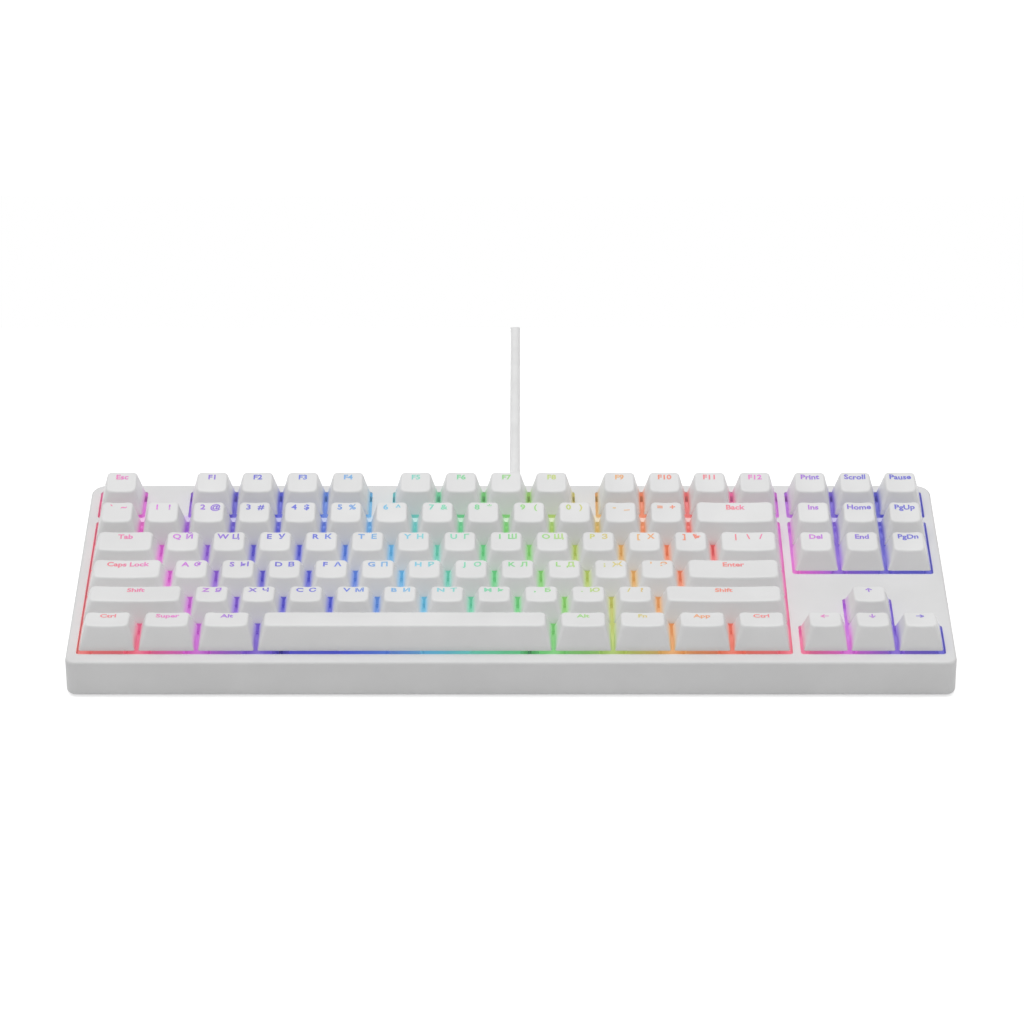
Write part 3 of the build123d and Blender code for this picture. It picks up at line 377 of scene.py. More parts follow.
@dataclass(frozen=True)
class Deck:
    """The sloping top of the case, and the frame that the keys stand in: u right, v back, w out."""

    front_wall_top: float = 16.0 * MM
    rim: float = 6.4 * MM

    @property
    def origin(self) -> np.ndarray:
        """The front edge of the front row of keys, on the deck, above the case's middle."""
        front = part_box("top_case")[0].y
        y = front + self.rim * math.cos(TILT)
        return np.array([0.0, y, self.front_wall_top + self.rim * math.sin(TILT)])

    @property
    def normal(self) -> tuple[float, float, float]:
        """The way straight out of the deck."""
        return (0.0, -math.sin(TILT), math.cos(TILT))

    def to_row(self, points: np.ndarray) -> np.ndarray:
        """Turns deck points into row points: origin + u*x + v*(cos, sin) + w*(-sin, cos).

        Args:
            points: Array whose last axis is u, v, w, in metres.

        Returns:
            The same points as x, y, z.
        """
        u, v, w = np.moveaxis(points, -1, 0)
        y = v * math.cos(TILT) - w * math.sin(TILT)
        z = v * math.sin(TILT) + w * math.cos(TILT)
        return self.origin + np.stack([u, y, z], -1)

    def height(self, sheet: ShaderSheet) -> Socket:
        """A shader's height above the deck, in metres."""
        dot = sheet.add("VectorMath", {0: sheet.place(), 1: self.normal}, operation="DOT_PRODUCT")
        return sheet.maths("SUBTRACT", dot.outputs["Value"], float(self.origin @ self.normal))


class Row(Enum):
    """The key rows, front to back: how far along the deck, and the cap's front and rear height."""

    BOTTOM = (0.0, 10.3 * MM, 8.3 * MM)
    LOWER = (PITCH, 9.3 * MM, 8.0 * MM)
    HOME = (2 * PITCH, 7.9 * MM, 8.1 * MM)
    UPPER = (3 * PITCH, 8.4 * MM, 9.3 * MM)
    NUMBER = (4 * PITCH, 9.9 * MM, 11.6 * MM)
    FUNCTION = (5 * PITCH + BLOCK_GAP, 9.9 * MM, 11.7 * MM)

    @property
    def middle(self) -> float:
        """How far back on the deck the row's middle lies."""
        return self.value[0] + PITCH / 2


# ---------------------------------------------------------------- finishes


@dataclass(frozen=True)
class Underglow:
    """The band of coloured light under the keys, which drifts across the deck and a little back."""

    slant: float = 0.25
    reach: float = 190.0 * MM
    thinning: float = 0.15
    hues: tuple[tuple[float, str], ...] = (
        (-176, "#E87C72"),
        (-152, "#E8667E"),
        (-130, "#DC5ED4"),
        (-112, "#9C5ED6"),
        (-92, "#6258D0"),
        (-66, "#5060D8"),
        (-50, "#5C92DC"),
        (-30, "#66C0E0"),
        (-12, "#70D2B4"),
        (8, "#70D288"),
        (30, "#98D472"),
        (46, "#C4CC62"),
        (66, "#E4AC5E"),
        (88, "#EA7C5A"),
        (112, "#EA6E86"),
        (134, "#DC5ED4"),
        (152, "#8A5AD6"),
        (176, "#5656CE"),
    )

    def colour(self, sheet: ShaderSheet, deck: Deck) -> Socket:
        """The light's colour at a point: a ramp over x plus a quarter of the distance back.

        Args:
            sheet: The material in work.
            deck: The deck that the keys stand on.

        Returns:
            The colour socket.
        """
        across = {0: sheet.place(), 1: (1.0, self.slant, 0.0)}
        dot = sheet.add("VectorMath", across, operation="DOT_PRODUCT")
        start = self.slant * float(deck.origin[1] + PITCH / 2)
        share = sheet.remap(dot.outputs["Value"], (start - self.reach, start + self.reach))
        hues = np.array([srgb(code) for _, code in self.hues])
        # Each lamp's light is thinned by the daylight around it, so a hue moves towards its grey.
        hues[:, :3] += self.thinning * (hues[:, :3].mean(axis=1, keepdims=True) - hues[:, :3])
        places = [0.5 + 0.5 * at * MM / self.reach for at, _ in self.hues]
        return sheet.ramp(share, list(zip(places, hues.tolist())))


@dataclass(frozen=True)
class MouldedPlastic:
    """Injection-moulded plastic with a spark-eroded skin: fine grain, faint flow mottling."""

    name: str
    colour: str
    roughness: float = 0.5
    grain_mm: float = 0.28
    grain_depth_mm: float = 0.012
    mottling: float = 0.03

    def principled(self, sheet: ShaderSheet) -> Node:
        """The plastic's shader: the flow mottling shifts its colour, the grain its relief."""
        # Resin flows freeze in patches of a few centimetres.
        levels = (1 - self.mottling, 1 + 0.5 * self.mottling)
        colour = sheet.shades(sheet.noise(26.0, 3.0), self.colour, levels, (0.35, 0.65))
        # The eroded steel of the mould leaves a skin of fine pits, seen as a soft sheen.
        relief = sheet.bump(sheet.noise(self.grain_mm), self.grain_depth_mm)
        rough = sheet.spread(sheet.noise(6.0), self.roughness - 0.04, self.roughness + 0.04)
        values = {"Base Color": colour, "Roughness": rough, "Normal": relief}
        return sheet.add("BsdfPrincipled", values)

    def material(self) -> Material:
        """The plain plastic."""
        sheet = ShaderSheet(self.name)
        return sheet.close(self.principled(sheet))


@dataclass(frozen=True)
class LitPlastic(MouldedPlastic):
    """Moulded plastic with painted light from under the keys: where its mask lets it, it glows and
    its colour is tinted towards the light's hue.
    """

    glow: Underglow = Underglow()
    strength: float = 0.24
    painted_glow_tint: float = 0.6
    deck: Deck = Deck()

    def mask(self, sheet: ShaderSheet) -> Socket | float:
        """Where the light shows: all over."""
        return 1.0

    def material(self) -> Material:
        """The lit plastic."""
        sheet = ShaderSheet(self.name)
        shader = self.principled(sheet)
        hue = self.glow.colour(sheet, self.deck)
        mask = self.mask(sheet)
        # Where the light shows, the base colour is tinted towards the light's hue: painted coloured
        # light.
        plain = shader.inputs["Base Color"].links[0].from_socket
        tint_towards_glow = {0: sheet.product(mask, self.painted_glow_tint), 6: plain, 7: hue}
        glow_tinted = sheet.add("Mix", tint_towards_glow, data_type="RGBA").outputs[2]
        sheet.tree.links.new(glow_tinted, shader.inputs["Base Color"])
        # The plastic itself glows in the light's hue, though it is no lamp: painted light.
        sheet.tree.links.new(hue, shader.inputs["Emission Color"])
        # The painted glow pools around each lamp, so it is a little uneven between them.
        pools = sheet.spread(sheet.noise(9.0, 1.0), 0.85 * self.strength, 1.05 * self.strength)
        sheet.tree.links.new(sheet.product(pools, mask), shader.inputs["Emission Strength"])
        return sheet.close(shader)


@dataclass(frozen=True)
class CapSkin(LitPlastic):
    """A keycap's outside: its flanks show a painted glow of the light from below, which fades as
    they rise.
    """

    fade_from: float = 0.9 * MM
    fade_to: float = 5.8 * MM
    flank_facing: Pair = (0.55, 0.9)

    def mask(self, sheet: ShaderSheet) -> Socket:
        """Strong at the foot of the flanks that face the next key, gone below the top."""
        height = self.deck.height(sheet)
        fade = (self.fade_from, self.fade_to)
        rise = sheet.remap(height, fade, (1, 0), interpolation_type="SMOOTHSTEP")
        facing = sheet.add("SeparateXYZ", {0: sheet.add("TexCoord").outputs["Normal"]})
        side = sheet.maths("ABSOLUTE", facing.outputs["X"])
        return sheet.product(rise, sheet.remap(side, self.flank_facing))


@dataclass(frozen=True)
class DeckSkin(LitPlastic):
    """The upper shell's plastic: a painted glow on its key openings' walls, and faintly on one
    strip.

    The strip is the one before the function row. The painted spill of light lies on it only between
    keys: not on the rims, nor on the bar between the blocks.
    """

    spill: float = 0.75
    wall_depth: float = 7.0 * MM
    wall_fade: Pair = (-0.5 * MM, -0.05 * MM)
    strip_fade: float = 2.0 * MM
    keys_half_width: float = 172.5 * MM
    bar_middle: float = 114.3 * MM
    bar_half_width: float = 2.8 * MM
    rim_half_width: float = 175.5 * MM
    rim_half_depth: float = 62.0 * MM

    def mask(self, sheet: ShaderSheet) -> Socket:
        """Just below the deck's face inside the rim, or on the strip; one is fully lit."""
        height = self.deck.height(sheet)
        x, y, _ = sheet.add("SeparateXYZ", {0: sheet.place()}).outputs
        front = self.deck.origin[1] + Row.NUMBER.value[0] * math.cos(TILT) + PITCH
        back = front + BLOCK_GAP
        near = sheet.remap(y, (front - self.strip_fade, front))
        far = sheet.remap(y, (back, back + self.strip_fade), (1, 0))
        from_bar = sheet.maths("ABSOLUTE", sheet.maths("SUBTRACT", x, self.bar_middle))
        off_bar = sheet.maths("GREATER_THAN", from_bar, self.bar_half_width)
        on_keys = sheet.within(x, self.keys_half_width)
        spilt = sheet.product(near, far, self.spill, on_keys, off_bar)
        below = sheet.remap(height, self.wall_fade, (1, 0))
        near_face = sheet.maths("GREATER_THAN", height, -self.wall_depth)
        wide, deep = sheet.within(x, self.rim_half_width), sheet.within(y, self.rim_half_depth)
        return sheet.product(sheet.maths("MAXIMUM", below, spilt), near_face, wide, deep)


@dataclass(frozen=True)
class LegendWindow:
    """A legend: the cap's clear inner plastic showing through, with a painted glow for the light
    from below.
    """

    name: str = "clear_legend_plastic_lit_from_below"
    glow: Underglow = Underglow()
    deck: Deck = Deck()

    def material(self) -> Material:
        """The lit window: a painted glow in the light's hue, a shade uneven where the clear plastic
        is thicker.
        """
        sheet = ShaderSheet(self.name)
        hue = self.glow.colour(sheet, self.deck)
        legend_glow_strength = sheet.spread(sheet.noise(1.6, 1.0), 0.2, 0.3)
        # The base colour is the light's hue with a little white: painted coloured light.
        glow_hued_base = sheet.add("Mix", {0: 0.06, 6: hue, 7: srgb("#FFFFFF")}, data_type="RGBA").outputs[2]
        values = {
            "Base Color": glow_hued_base,
            "Roughness": 0.42,
            "Emission Color": hue,
            "Emission Strength": legend_glow_strength,
            "Normal": sheet.bump(sheet.noise(0.3), 0.004),
        }
        return sheet.surface(values)


@dataclass(frozen=True)
class DrawnMetal:
    """Plated or drawn steel: long fine marks along one axis, and a soft mirror."""

    name: str
    colour: str
    roughness: float = 0.3
    along: tuple[float, float, float] = (0.05, 1.0, 1.0)

    def material(self) -> Material:
        """Metal whose drawing marks vary its gloss and relief."""
        sheet = ShaderSheet(self.name)
        marks = sheet.noise(0.35, 3.0, self.along)
        values = {
            "Base Color": sheet.shades(marks, self.colour, (0.88, 1.0)),
            "Metallic": 1.0,
            "Roughness": sheet.spread(marks, self.roughness - 0.08, self.roughness + 0.1),
            "Normal": sheet.bump(marks, 0.004),
        }
        return sheet.surface(values)


@dataclass(frozen=True)
class SoftRubber:
    """Moulded elastomer: dull, with a fine dusty skin and a pale sheen at grazing light."""

    name: str
    colour: str
    roughness: float = 0.7
    sheen: float = 0.25

    def material(self) -> Material:
        """Rubber with blotches where it has been handled."""
        sheet = ShaderSheet(self.name)
        blotch = sheet.noise(11.0, 4.0)
        values = {
            "Base Color": sheet.shades(blotch, self.colour, (0.93, 1.0)),
            "Roughness": sheet.spread(blotch, self.roughness - 0.06, self.roughness + 0.06),
            "Sheen Weight": self.sheen,
            "Sheen Roughness": 0.5,
            "Normal": sheet.bump(sheet.noise(0.2, 3.0), 0.01),
        }
        return sheet.surface(values)


@dataclass(frozen=True)
class WovenStrap:
    """A woven textile strap: warp and weft threads that pass over and under each other."""

    name: str = "woven_hook_and_loop_strap"
    colour: str = "#C9C9CB"
    thread_mm: float = 0.5

    def material(self) -> Material:
        """Two crossed waves make the weave, with loose loops of nap over it."""
        sheet = ShaderSheet(self.name)
        # One wave period is 2*pi/20 of the scaled unit, so the threads come out thread_mm apart.
        scale = per_metre(self.thread_mm) * math.pi / 10
        waves = [
            sheet.add("TexWave", {"Vector": sheet.place(), "Scale": scale}, bands_direction=axis)
            for axis in ("X", "Y")
        ]
        weave = sheet.maths("MAXIMUM", waves[0].outputs["Fac"], waves[1].outputs["Fac"])
        nap = sheet.maths("ADD", weave, sheet.noise(0.25, 4.0))
        # The colour is darker between the threads, where they dip under each other: painted shade
        # in the weave's hollows.
        values = {
            "Base Color": sheet.shades(weave, self.colour, (0.6, 1.0), (0.1, 0.8)),
            "Roughness": 0.9,
            "Sheen Weight": 0.4,
            "Normal": sheet.bump(nap, 0.08),
        }
        return sheet.surface(values)


@dataclass(frozen=True)
class SolderMask:
    """A circuit board's white lacquer over copper tracks, which stand up a little under it."""

    name: str = "white_solder_mask_over_copper"
    colour: str = "#E6E8E6"

    def material(self) -> Material:
        """Tracks run in straight lanes of about a millimetre; the lacquer rounds them off."""
        sheet = ShaderSheet(self.name)
        lanes = {
            "Vector": sheet.place(),
            "Scale": per_metre(10.0),
            "Brick Width": 1.6,
            "Row Height": 0.12,
            "Mortar Size": 0.02,
            "Mortar Smooth": 0.6,
            "Color1": (1, 1, 1, 1),
            "Color2": (0.9, 0.9, 0.9, 1),
            "Mortar": (0.4, 0.4, 0.4, 1),
        }
        tracks = sheet.add("TexBrick", lanes).outputs["Fac"]
        values = {
            "Base Color": sheet.shades(tracks, self.colour, (1.0, 0.86), (0.0, 1.0)),
            "Roughness": sheet.spread(sheet.noise(3.0), 0.25, 0.35),
            "Coat Weight": 0.3,
            "Normal": sheet.bump(tracks, 0.03),
        }
        return sheet.surface(values)


# ---------------------------------------------------------------- keycaps


@dataclass(frozen=True)
class KeyRun:
    """A run of keys side by side in one row, which one CAD node holds.

    Each legend is one key's marks, from left to right, with spaces between them.
    """

    node: str
    row: Row
    units: float
    legends: tuple[tuple[str, ...], ...]
    crowned: bool = False
    stems: tuple[float, ...] = ()


def letters(latin: str, second: str) -> tuple[tuple[str, ...], ...]:
    """Pairs each letter of one alphabet with the letter of the other on the same key."""
    return tuple(zip(latin, second))


def words(*names: str) -> tuple[tuple[str, ...], ...]:
    """One key for each word."""
    return tuple((name,) for name in names)


SHORT_STEMS = (-11.94 * MM, 11.94 * MM)
LONG_STEMS = (-50.0 * MM, 50.0 * MM)

KEY_RUNS = (
    KeyRun("key_left_control", Row.BOTTOM, 1.25, words("Ctrl")),
    KeyRun("key_left_system", Row.BOTTOM, 1.25, words("Super")),
    KeyRun("key_left_alt", Row.BOTTOM, 1.25, words("Alt")),
    KeyRun("key_space", Row.BOTTOM, 6.25, ((),), True, LONG_STEMS),
    KeyRun("key_right_alt", Row.BOTTOM, 1.25, words("Alt")),
    KeyRun("key_function_layer", Row.BOTTOM, 1.25, words("Fn")),
    KeyRun("key_menu", Row.BOTTOM, 1.25, words("App")),
    KeyRun("key_right_control", Row.BOTTOM, 1.25, words("Ctrl")),
    KeyRun("key_left_shift", Row.LOWER, 2.25, words("Shift"), False, SHORT_STEMS),
    KeyRun("keys_lower_letters", Row.LOWER, 1, letters("ZXCVBNM,./", "ЯЧСМИТЬБЮ?")),
    KeyRun("key_right_shift", Row.LOWER, 2.75, words("Shift"), False, SHORT_STEMS),
    KeyRun("key_caps_lock", Row.HOME, 1.75, words("Caps Lock")),
    KeyRun("keys_home_letters", Row.HOME, 1, letters("ASDFGHJKL;'", "ФЫВАПРОЛДЖЭ")),
    KeyRun("key_enter", Row.HOME, 2.25, words("Enter"), False, SHORT_STEMS),
    KeyRun("key_tab", Row.UPPER, 1.5, words("Tab")),
    KeyRun("keys_upper_letters", Row.UPPER, 1, letters("QWERTYUIOP[]", "ЙЦУКЕНГШЩЗХЪ")),
    KeyRun("key_backslash", Row.UPPER, 1.5, (("|", "\\", "/"),)),
    KeyRun("keys_numbers", Row.NUMBER, 1, letters("`1234567890-=", "~!@#$%^&*()_+")),
    KeyRun("key_backspace", Row.NUMBER, 2, words("Back"), False, SHORT_STEMS),
    KeyRun("key_escape", Row.FUNCTION, 1, words("Esc")),
    KeyRun("keys_f1_to_f4", Row.FUNCTION, 1, words("F1", "F2", "F3", "F4")),
    KeyRun("keys_f5_to_f8", Row.FUNCTION, 1, words("F5", "F6", "F7", "F8")),
    KeyRun("keys_f9_to_f12", Row.FUNCTION, 1, words("F9", "F10", "F11", "F12")),
    KeyRun("keys_print_group", Row.FUNCTION, 1, words("Print", "Scroll", "Pause")),
    KeyRun("keys_navigation", Row.NUMBER, 1, words("Ins", "Home", "PgUp")),
    KeyRun("keys_navigation", Row.UPPER, 1, words("Del", "End", "PgDn")),
    KeyRun("key_arrow_up", Row.LOWER, 1, words("↑")),
    KeyRun("key_arrow_left", Row.BOTTOM, 1, words("←")),
    KeyRun("key_arrow_down", Row.BOTTOM, 1, words("↓")),
    KeyRun("key_arrow_right", Row.BOTTOM, 1, words("→")),
)


@dataclass(frozen=True)
class CapMould:
    """The shape of a keycap: tapering flanks, a rounded brow and a shallow finger dish."""

    gap: float = 0.95 * MM
    lift: float = 0.9 * MM
    front_inset: float = 3.4 * MM
    rear_inset: float = 2.3 * MM
    side_inset: float = 2.85 * MM
    base_radius: float = 1.1 * MM
    top_radius: float = 2.3 * MM
    brow: float = 0.75 * MM
    dish: float = 0.5 * MM
    crown: float = 0.5 * MM
    wall: float = 1.15 * MM
    roof: float = 1.5 * MM
    least_radius: float = 0.25 * MM
    edge_chamfer: float = 0.12 * MM
    legend_rise: float = 0.045 * MM
    brow_steps: int = 6
    outline: RoundedOutline = RoundedOutline()

    def top_height(self, across: np.ndarray, back: np.ndarray, run: KeyRun) -> np.ndarray:
        """How high the cap's top is above the cap's edge.

        The mean of the front and rear heights, plus half their difference times back, less the dish
        times one minus across squared; a space bar has a crown over its depth instead.

        Args:
            across: Place across the top, from -1 to 1.
            back: Place from front to rear of the top, from -1 to 1.
            run: The keys in work.

        Returns:
            Heights in metres.
        """
        front, rear = run.row.value[1:]
        plane = (front + rear) / 2 + back * (rear - front) / 2
        if run.crowned:
            return plane + self.crown * (1 - back**2) - 0.5 * self.crown
        return plane - self.dish * (1 - across**2)

    def sizes(self, share: np.ndarray, run: KeyRun) -> tuple[np.ndarray, np.ndarray, np.ndarray]:
        """Half width, half depth and middle of the cap at a share of its height."""
        half_width = (run.units * PITCH - self.gap) / 2 - self.side_inset * share
        half_depth = (PITCH - self.gap - (self.front_inset + self.rear_inset) * share) / 2
        return half_width, half_depth, (self.front_inset - self.rear_inset) * share / 2

    def rings(self, run: KeyRun) -> tuple[np.ndarray, np.ndarray]:
        """The cap as rings from the middle of its top, over the brow, down and up inside.

        A ring is a rounded rectangle at a share of the height, drawn in by an inset and a shrink;
        its height is the lift plus the share times the top's height above that place.

        Args:
            run: The keys in work.

        Returns:
            Rings of deck points around the cap's middle, and each band's material number.
        """
        mean = sum(run.row.value[1:]) / 2
        turn = np.linspace(math.pi / 2, 0, self.brow_steps)
        brow_share = 1 - self.brow * (1 - np.sin(turn)) / mean
        brow_inset = self.brow * (1 - np.cos(turn))
        inner_share = 1 - self.roof / mean
        wall_share = np.array([0.6, 0.25, 0.02, 0.0, 0.0, inner_share, inner_share])
        wall_inset = np.array([0.0, 0.0, 0.0, self.edge_chamfer, self.wall, self.wall, self.wall])
        top_shrink = np.array([0.2, 0.45, 0.7, 0.88])
        top = np.ones_like(top_shrink)
        share = np.concatenate([top, brow_share, wall_share])
        inset = np.concatenate([top * self.brow, brow_inset, wall_inset])
        # Only the top and, at the end, the middle of the ceiling are drawn in from their outline.
        shrink = np.concatenate([top_shrink, np.ones(self.brow_steps + len(wall_share) - 1), [0.5]])
        half_width, half_depth, middle = self.sizes(share, run)
        radius = self.base_radius + (self.top_radius - self.base_radius) * share
        radius = np.maximum(radius - inset, self.least_radius)
        sizes = (half_width - inset, half_depth - inset, radius)
        flat = self.outline.rings(*(size * shrink for size in sizes))
        across = flat[..., 0] / half_width[:, None]
        back = flat[..., 1] / half_depth[:, None]
        height = self.lift + share[:, None] * self.top_height(across, back, run)
        rings = np.stack([flat[..., 0], flat[..., 1] + middle[:, None], height], -1)
        # The wall's lower edge, its inner face and the ceiling are the last three bands.
        bands = np.zeros(len(rings) - 1, int)
        bands[-3:] = 1
        return rings, bands

    def on_top(self, marks: np.ndarray, run: KeyRun) -> np.ndarray:
        """Lays flat marks on the cap's top, a few hundredths of a millimetre proud of it."""
        half_width, half_depth, middle = self.sizes(np.array(1.0), run)
        back = (marks[:, 1] - middle) / half_depth
        height = self.top_height(marks[:, 0] / half_width, back, run)
        return np.column_stack([marks[:, :2], self.lift + height + self.legend_rise])


@dataclass(frozen=True)
class StemMould:
    """What holds a cap: the switch's slider, the round boss over it and the stabiliser's stems."""

    outline: RoundedOutline = RoundedOutline(corner_steps=3, side_steps=1)
    boss_radius: float = 2.75 * MM

    def block(self, middle: tuple[float, float], levels: list[tuple[float, ...]]) -> np.ndarray:
        """Stacks rounded rectangles, each given as half width, half depth, radius and height.

        Args:
            middle: Where the stack stands.
            levels: The rectangles, from the top down, in millimetres.

        Returns:
            Rings of deck points.
        """
        half_x, half_y, radius, height = (np.array(levels) * MM).T
        flat = self.outline.rings(half_x, half_y, radius) + np.array(middle)
        tall = np.broadcast_to(height[:, None, None], (*flat.shape[:2], 1))
        return np.concatenate([flat, tall], -1)

    def slider(self) -> np.ndarray:
        """The slider: a shaft with the wider foot that keeps it in the switch."""
        shaft, foot = (3.5, 3.0, 0.3), (4.8, 3.0, 0.3)
        return self.block((0.0, 0.0), [(*shaft, 1.6), (*shaft, 0.2), (*foot, 0.2), (*foot, -4.2)])

    def boss(self, across: float, cap_height: float) -> np.ndarray:
        """The round boss inside the cap, down to the slider's shoulder."""
        round_end = (self.boss_radius / MM,) * 3
        top = cap_height / MM - 0.4
        return self.block((across, 0.0), [(*round_end, top), (*round_end, 1.62)])

    def stabiliser_stem(self, across: float) -> list[np.ndarray]:
        """A stabiliser's stem: a block over the wire and a leg behind it."""
        head = [(2.0, 2.2, 0.3, 1.6), (2.0, 2.2, 0.3, -2.6)]
        leg = [(2.0, 0.4, 0.2, 1.5), (2.0, 0.4, 0.2, -5.7)]
        return [self.block((across, 0.6 * MM), head), self.block((across, 2.4 * MM), leg)]


@dataclass(frozen=True)
class Spring:
    """The return spring under a key's slider."""

    radius: float = 1.925 * MM
    wire: float = 0.225 * MM
    turns: int = 6
    points_per_turn: int = 12
    points_around: int = 6
    floor: float = -8.9 * MM
    top: float = -4.2 * MM
    keep: float = 0.14

    def rings(self) -> np.ndarray:
        """A round wire along a helix: its angle and its height rise evenly.

        A point is the helix radius plus the wire's cosine out from the middle, and the helix height
        plus the wire's sine up.
        """
        share = np.linspace(0, 1, self.points_per_turn * self.turns + 1)[:, None]
        angle = 2 * math.pi * self.turns * share
        around = np.linspace(0, 2 * math.pi, self.points_around, endpoint=False)
        out = self.radius + self.wire * np.cos(around)
        low, high = self.floor + self.wire, self.top - self.wire
        height = low + (high - low) * share + self.wire * np.sin(around)
        return np.stack([out * np.cos(angle), out * np.sin(angle), height], -1)


class LegendCutter:
    """Sets the legends: bold marks near the rear edge of each cap's top."""

    def __init__(self, mould: CapMould, deck: Deck) -> None:
        """Keeps the mould whose tops the marks lie on, and the deck that the keys stand on."""
        self.mould = mould
        self.deck = deck
        self.letter_size = 4.3 * MM
        self.word_size = 4.0 * MM
        self.from_rear = 3.4 * MM
        self.spacing = 5.2 * MM
        self.most_width = 0.86

    def flat_mark(self, text: str, size: float) -> tuple[np.ndarray, np.ndarray]:
        """Cuts one mark as a flat mesh centred on its own middle.

        Args:
            text: The mark.
            size: The type's size.

        Returns:
            Points with x and y, and triangles that face up.
        """
        curve = bpy.data.curves.new("mark", "FONT")
        curve.body = text
        curve.size = size
        curve.align_x = "CENTER"
        curve.align_y = "CENTER"
        curve.resolution_u = 3
        curve.offset = 0.03 * size
        holder = linked("mark", curve)
        graph = bpy.context.evaluated_depsgraph_get()
        mesh = bpy.data.meshes.new_from_object(holder.evaluated_get(graph))
        points = np.empty(len(mesh.vertices) * 3)
        mesh.vertices.foreach_get("co", points)
        mesh.calc_loop_triangles()
        triangles = np.empty(len(mesh.loop_triangles) * 3, np.int32)
        mesh.loop_triangles.foreach_get("vertices", triangles)
        bpy.data.objects.remove(holder)
        bpy.data.curves.remove(curve)
        bpy.data.meshes.remove(mesh)
        points = points.reshape(-1, 3)[:, :2]
        triangles = triangles.reshape(-1, 3)
        a, b, c = points[triangles].transpose(1, 0, 2)
        area = np.cross(b - a, c - a)
        triangles[area < 0] = triangles[area < 0][:, ::-1]
        return points, triangles

    def cut(self, piece: PieceMesh, run: KeyRun, marks: tuple[str, ...], place: np.ndarray) -> None:
        """Adds one key's marks to the piece.

        Args:
            piece: The legends in work.
            run: The keys in work.
            marks: The key's marks, from left to right.
            place: The key's middle on the deck.
        """
        half_width, half_depth, middle = self.mould.sizes(np.array(1.0), run)
        line = float(middle + half_depth) - self.from_rear
        size = self.word_size if len(marks) == 1 else self.letter_size
        for number, text in enumerate(marks):
            points, triangles = self.flat_mark(text, size)
            if not len(triangles):
                continue
            shift = (number - (len(marks) - 1) / 2) * self.spacing
            room = self.most_width * 2 * float(half_width)
            width = float(np.ptp(points[:, 0]))
            if len(marks) == 1 and width > room:
                points = points * np.array([room / width, 1.0])
            laid = self.mould.on_top(points + np.array([shift, line]), run) + place
            piece.add(self.deck.to_row(laid), [triangles], [np.zeros(len(triangles), int)])


class Keys:
    """All the keycaps with their stems, their legends and their springs, by CAD node."""

    def __init__(self, deck: Deck) -> None:
        """Keeps the deck, takes up the moulds and makes the finishes."""
        self.deck = deck
        self.mould = CapMould()
        self.stems = StemMould()
        self.cutter = LegendCutter(self.mould, deck)
        self.spring = Spring()
        # The caps' flanks and insides carry a painted glow of the light under the keys.
        skin = CapSkin("keycap_double_shot_plastic_painted_glow", "#F0F0F0", 0.42, 0.22, 0.008, deck=deck)
        inside = LitPlastic("keycap_inside_lit_plastic", "#E8E8E8", strength=0.25, deck=deck)
        self.cap_plastics = [skin.material(), inside.material()]
        self.window = LegendWindow(deck=deck).material()
        self.plated_wire = DrawnMetal("spring_gold_plating", "#CDBE8E", 0.25).material()

    def places(self, run: KeyRun) -> list[np.ndarray]:
        """The middles of a run's keys on the deck, side by side from the left of its CAD box."""
        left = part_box(run.node)[0].x - self.mould.gap / 2
        across = [left + (number + 0.5) * run.units * PITCH for number in range(len(run.legends))]
        return [np.array([u, run.row.middle, 0.0]) for u in across]

    def build_springs(self, node: str, runs: list[KeyRun]) -> None:
        """Winds the springs under one node's keys.

        Args:
            node: The CAD node of the keys.
            runs: Its runs of keys.
        """
        springs = PieceMesh(node.replace("key", "spring", 1))
        places = [place for run in runs for place in self.places(run)]
        for place in places:
            springs.add_shell(self.deck.to_row(self.spring.rings() + place))
        made = seat(springs.finish([self.plated_wire]), "case", "switch_springs", "switch_springs")
        foot = tuple(self.deck.to_row(places[-1] + np.array([0.0, 0.0, self.spring.floor])))
        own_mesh(made)

    def build_run(self, caps: PieceMesh, legends: PieceMesh, run: KeyRun) -> None:
        """Adds one run's caps, stems and legends.

        Args:
            caps: The caps in work.
            legends: The legends in work.
            run: The keys.
        """
        rings, bands = self.mould.rings(run)
        roof = sum(run.row.value[1:]) / 2 - self.mould.roof + self.mould.lift
        shells = [self.stems.slider()]
        shells += [self.stems.boss(across, roof + 0.8 * MM) for across in (0.0, *run.stems)]
        for across in run.stems:
            shells += self.stems.stabiliser_stem(across)
        for marks, place in zip(run.legends, self.places(run)):
            caps.add_shell(self.deck.to_row(rings + place), bands)
            for shell in shells:
                caps.add_shell(self.deck.to_row(shell + place), np.ones(len(shell) - 1, int))
            self.cutter.cut(legends, run, marks, place)

    def build(self) -> None:
        """Makes every node's caps, legends and springs; caps and legends ride on their key."""
        for node in dict.fromkeys(run.node for run in KEY_RUNS):
            runs = [run for run in KEY_RUNS if run.node == node]
            caps = PieceMesh(node.replace("key", "cap", 1))
            legends = PieceMesh(node.replace("key", "legend", 1))
            for run in runs:
                self.build_run(caps, legends, run)
            made = [seat(caps.finish(self.cap_plastics), node, "keycap", node)]
            if legends.total:
                made.append(seat(legends.finish([self.window]), node, "keycap"))
            for piece in made:
                LOG.info("%s: %d faces", piece.name, len(piece.data.polygons))
            self.build_springs(node, runs)


# ---------------------------------------------------------------- the cord


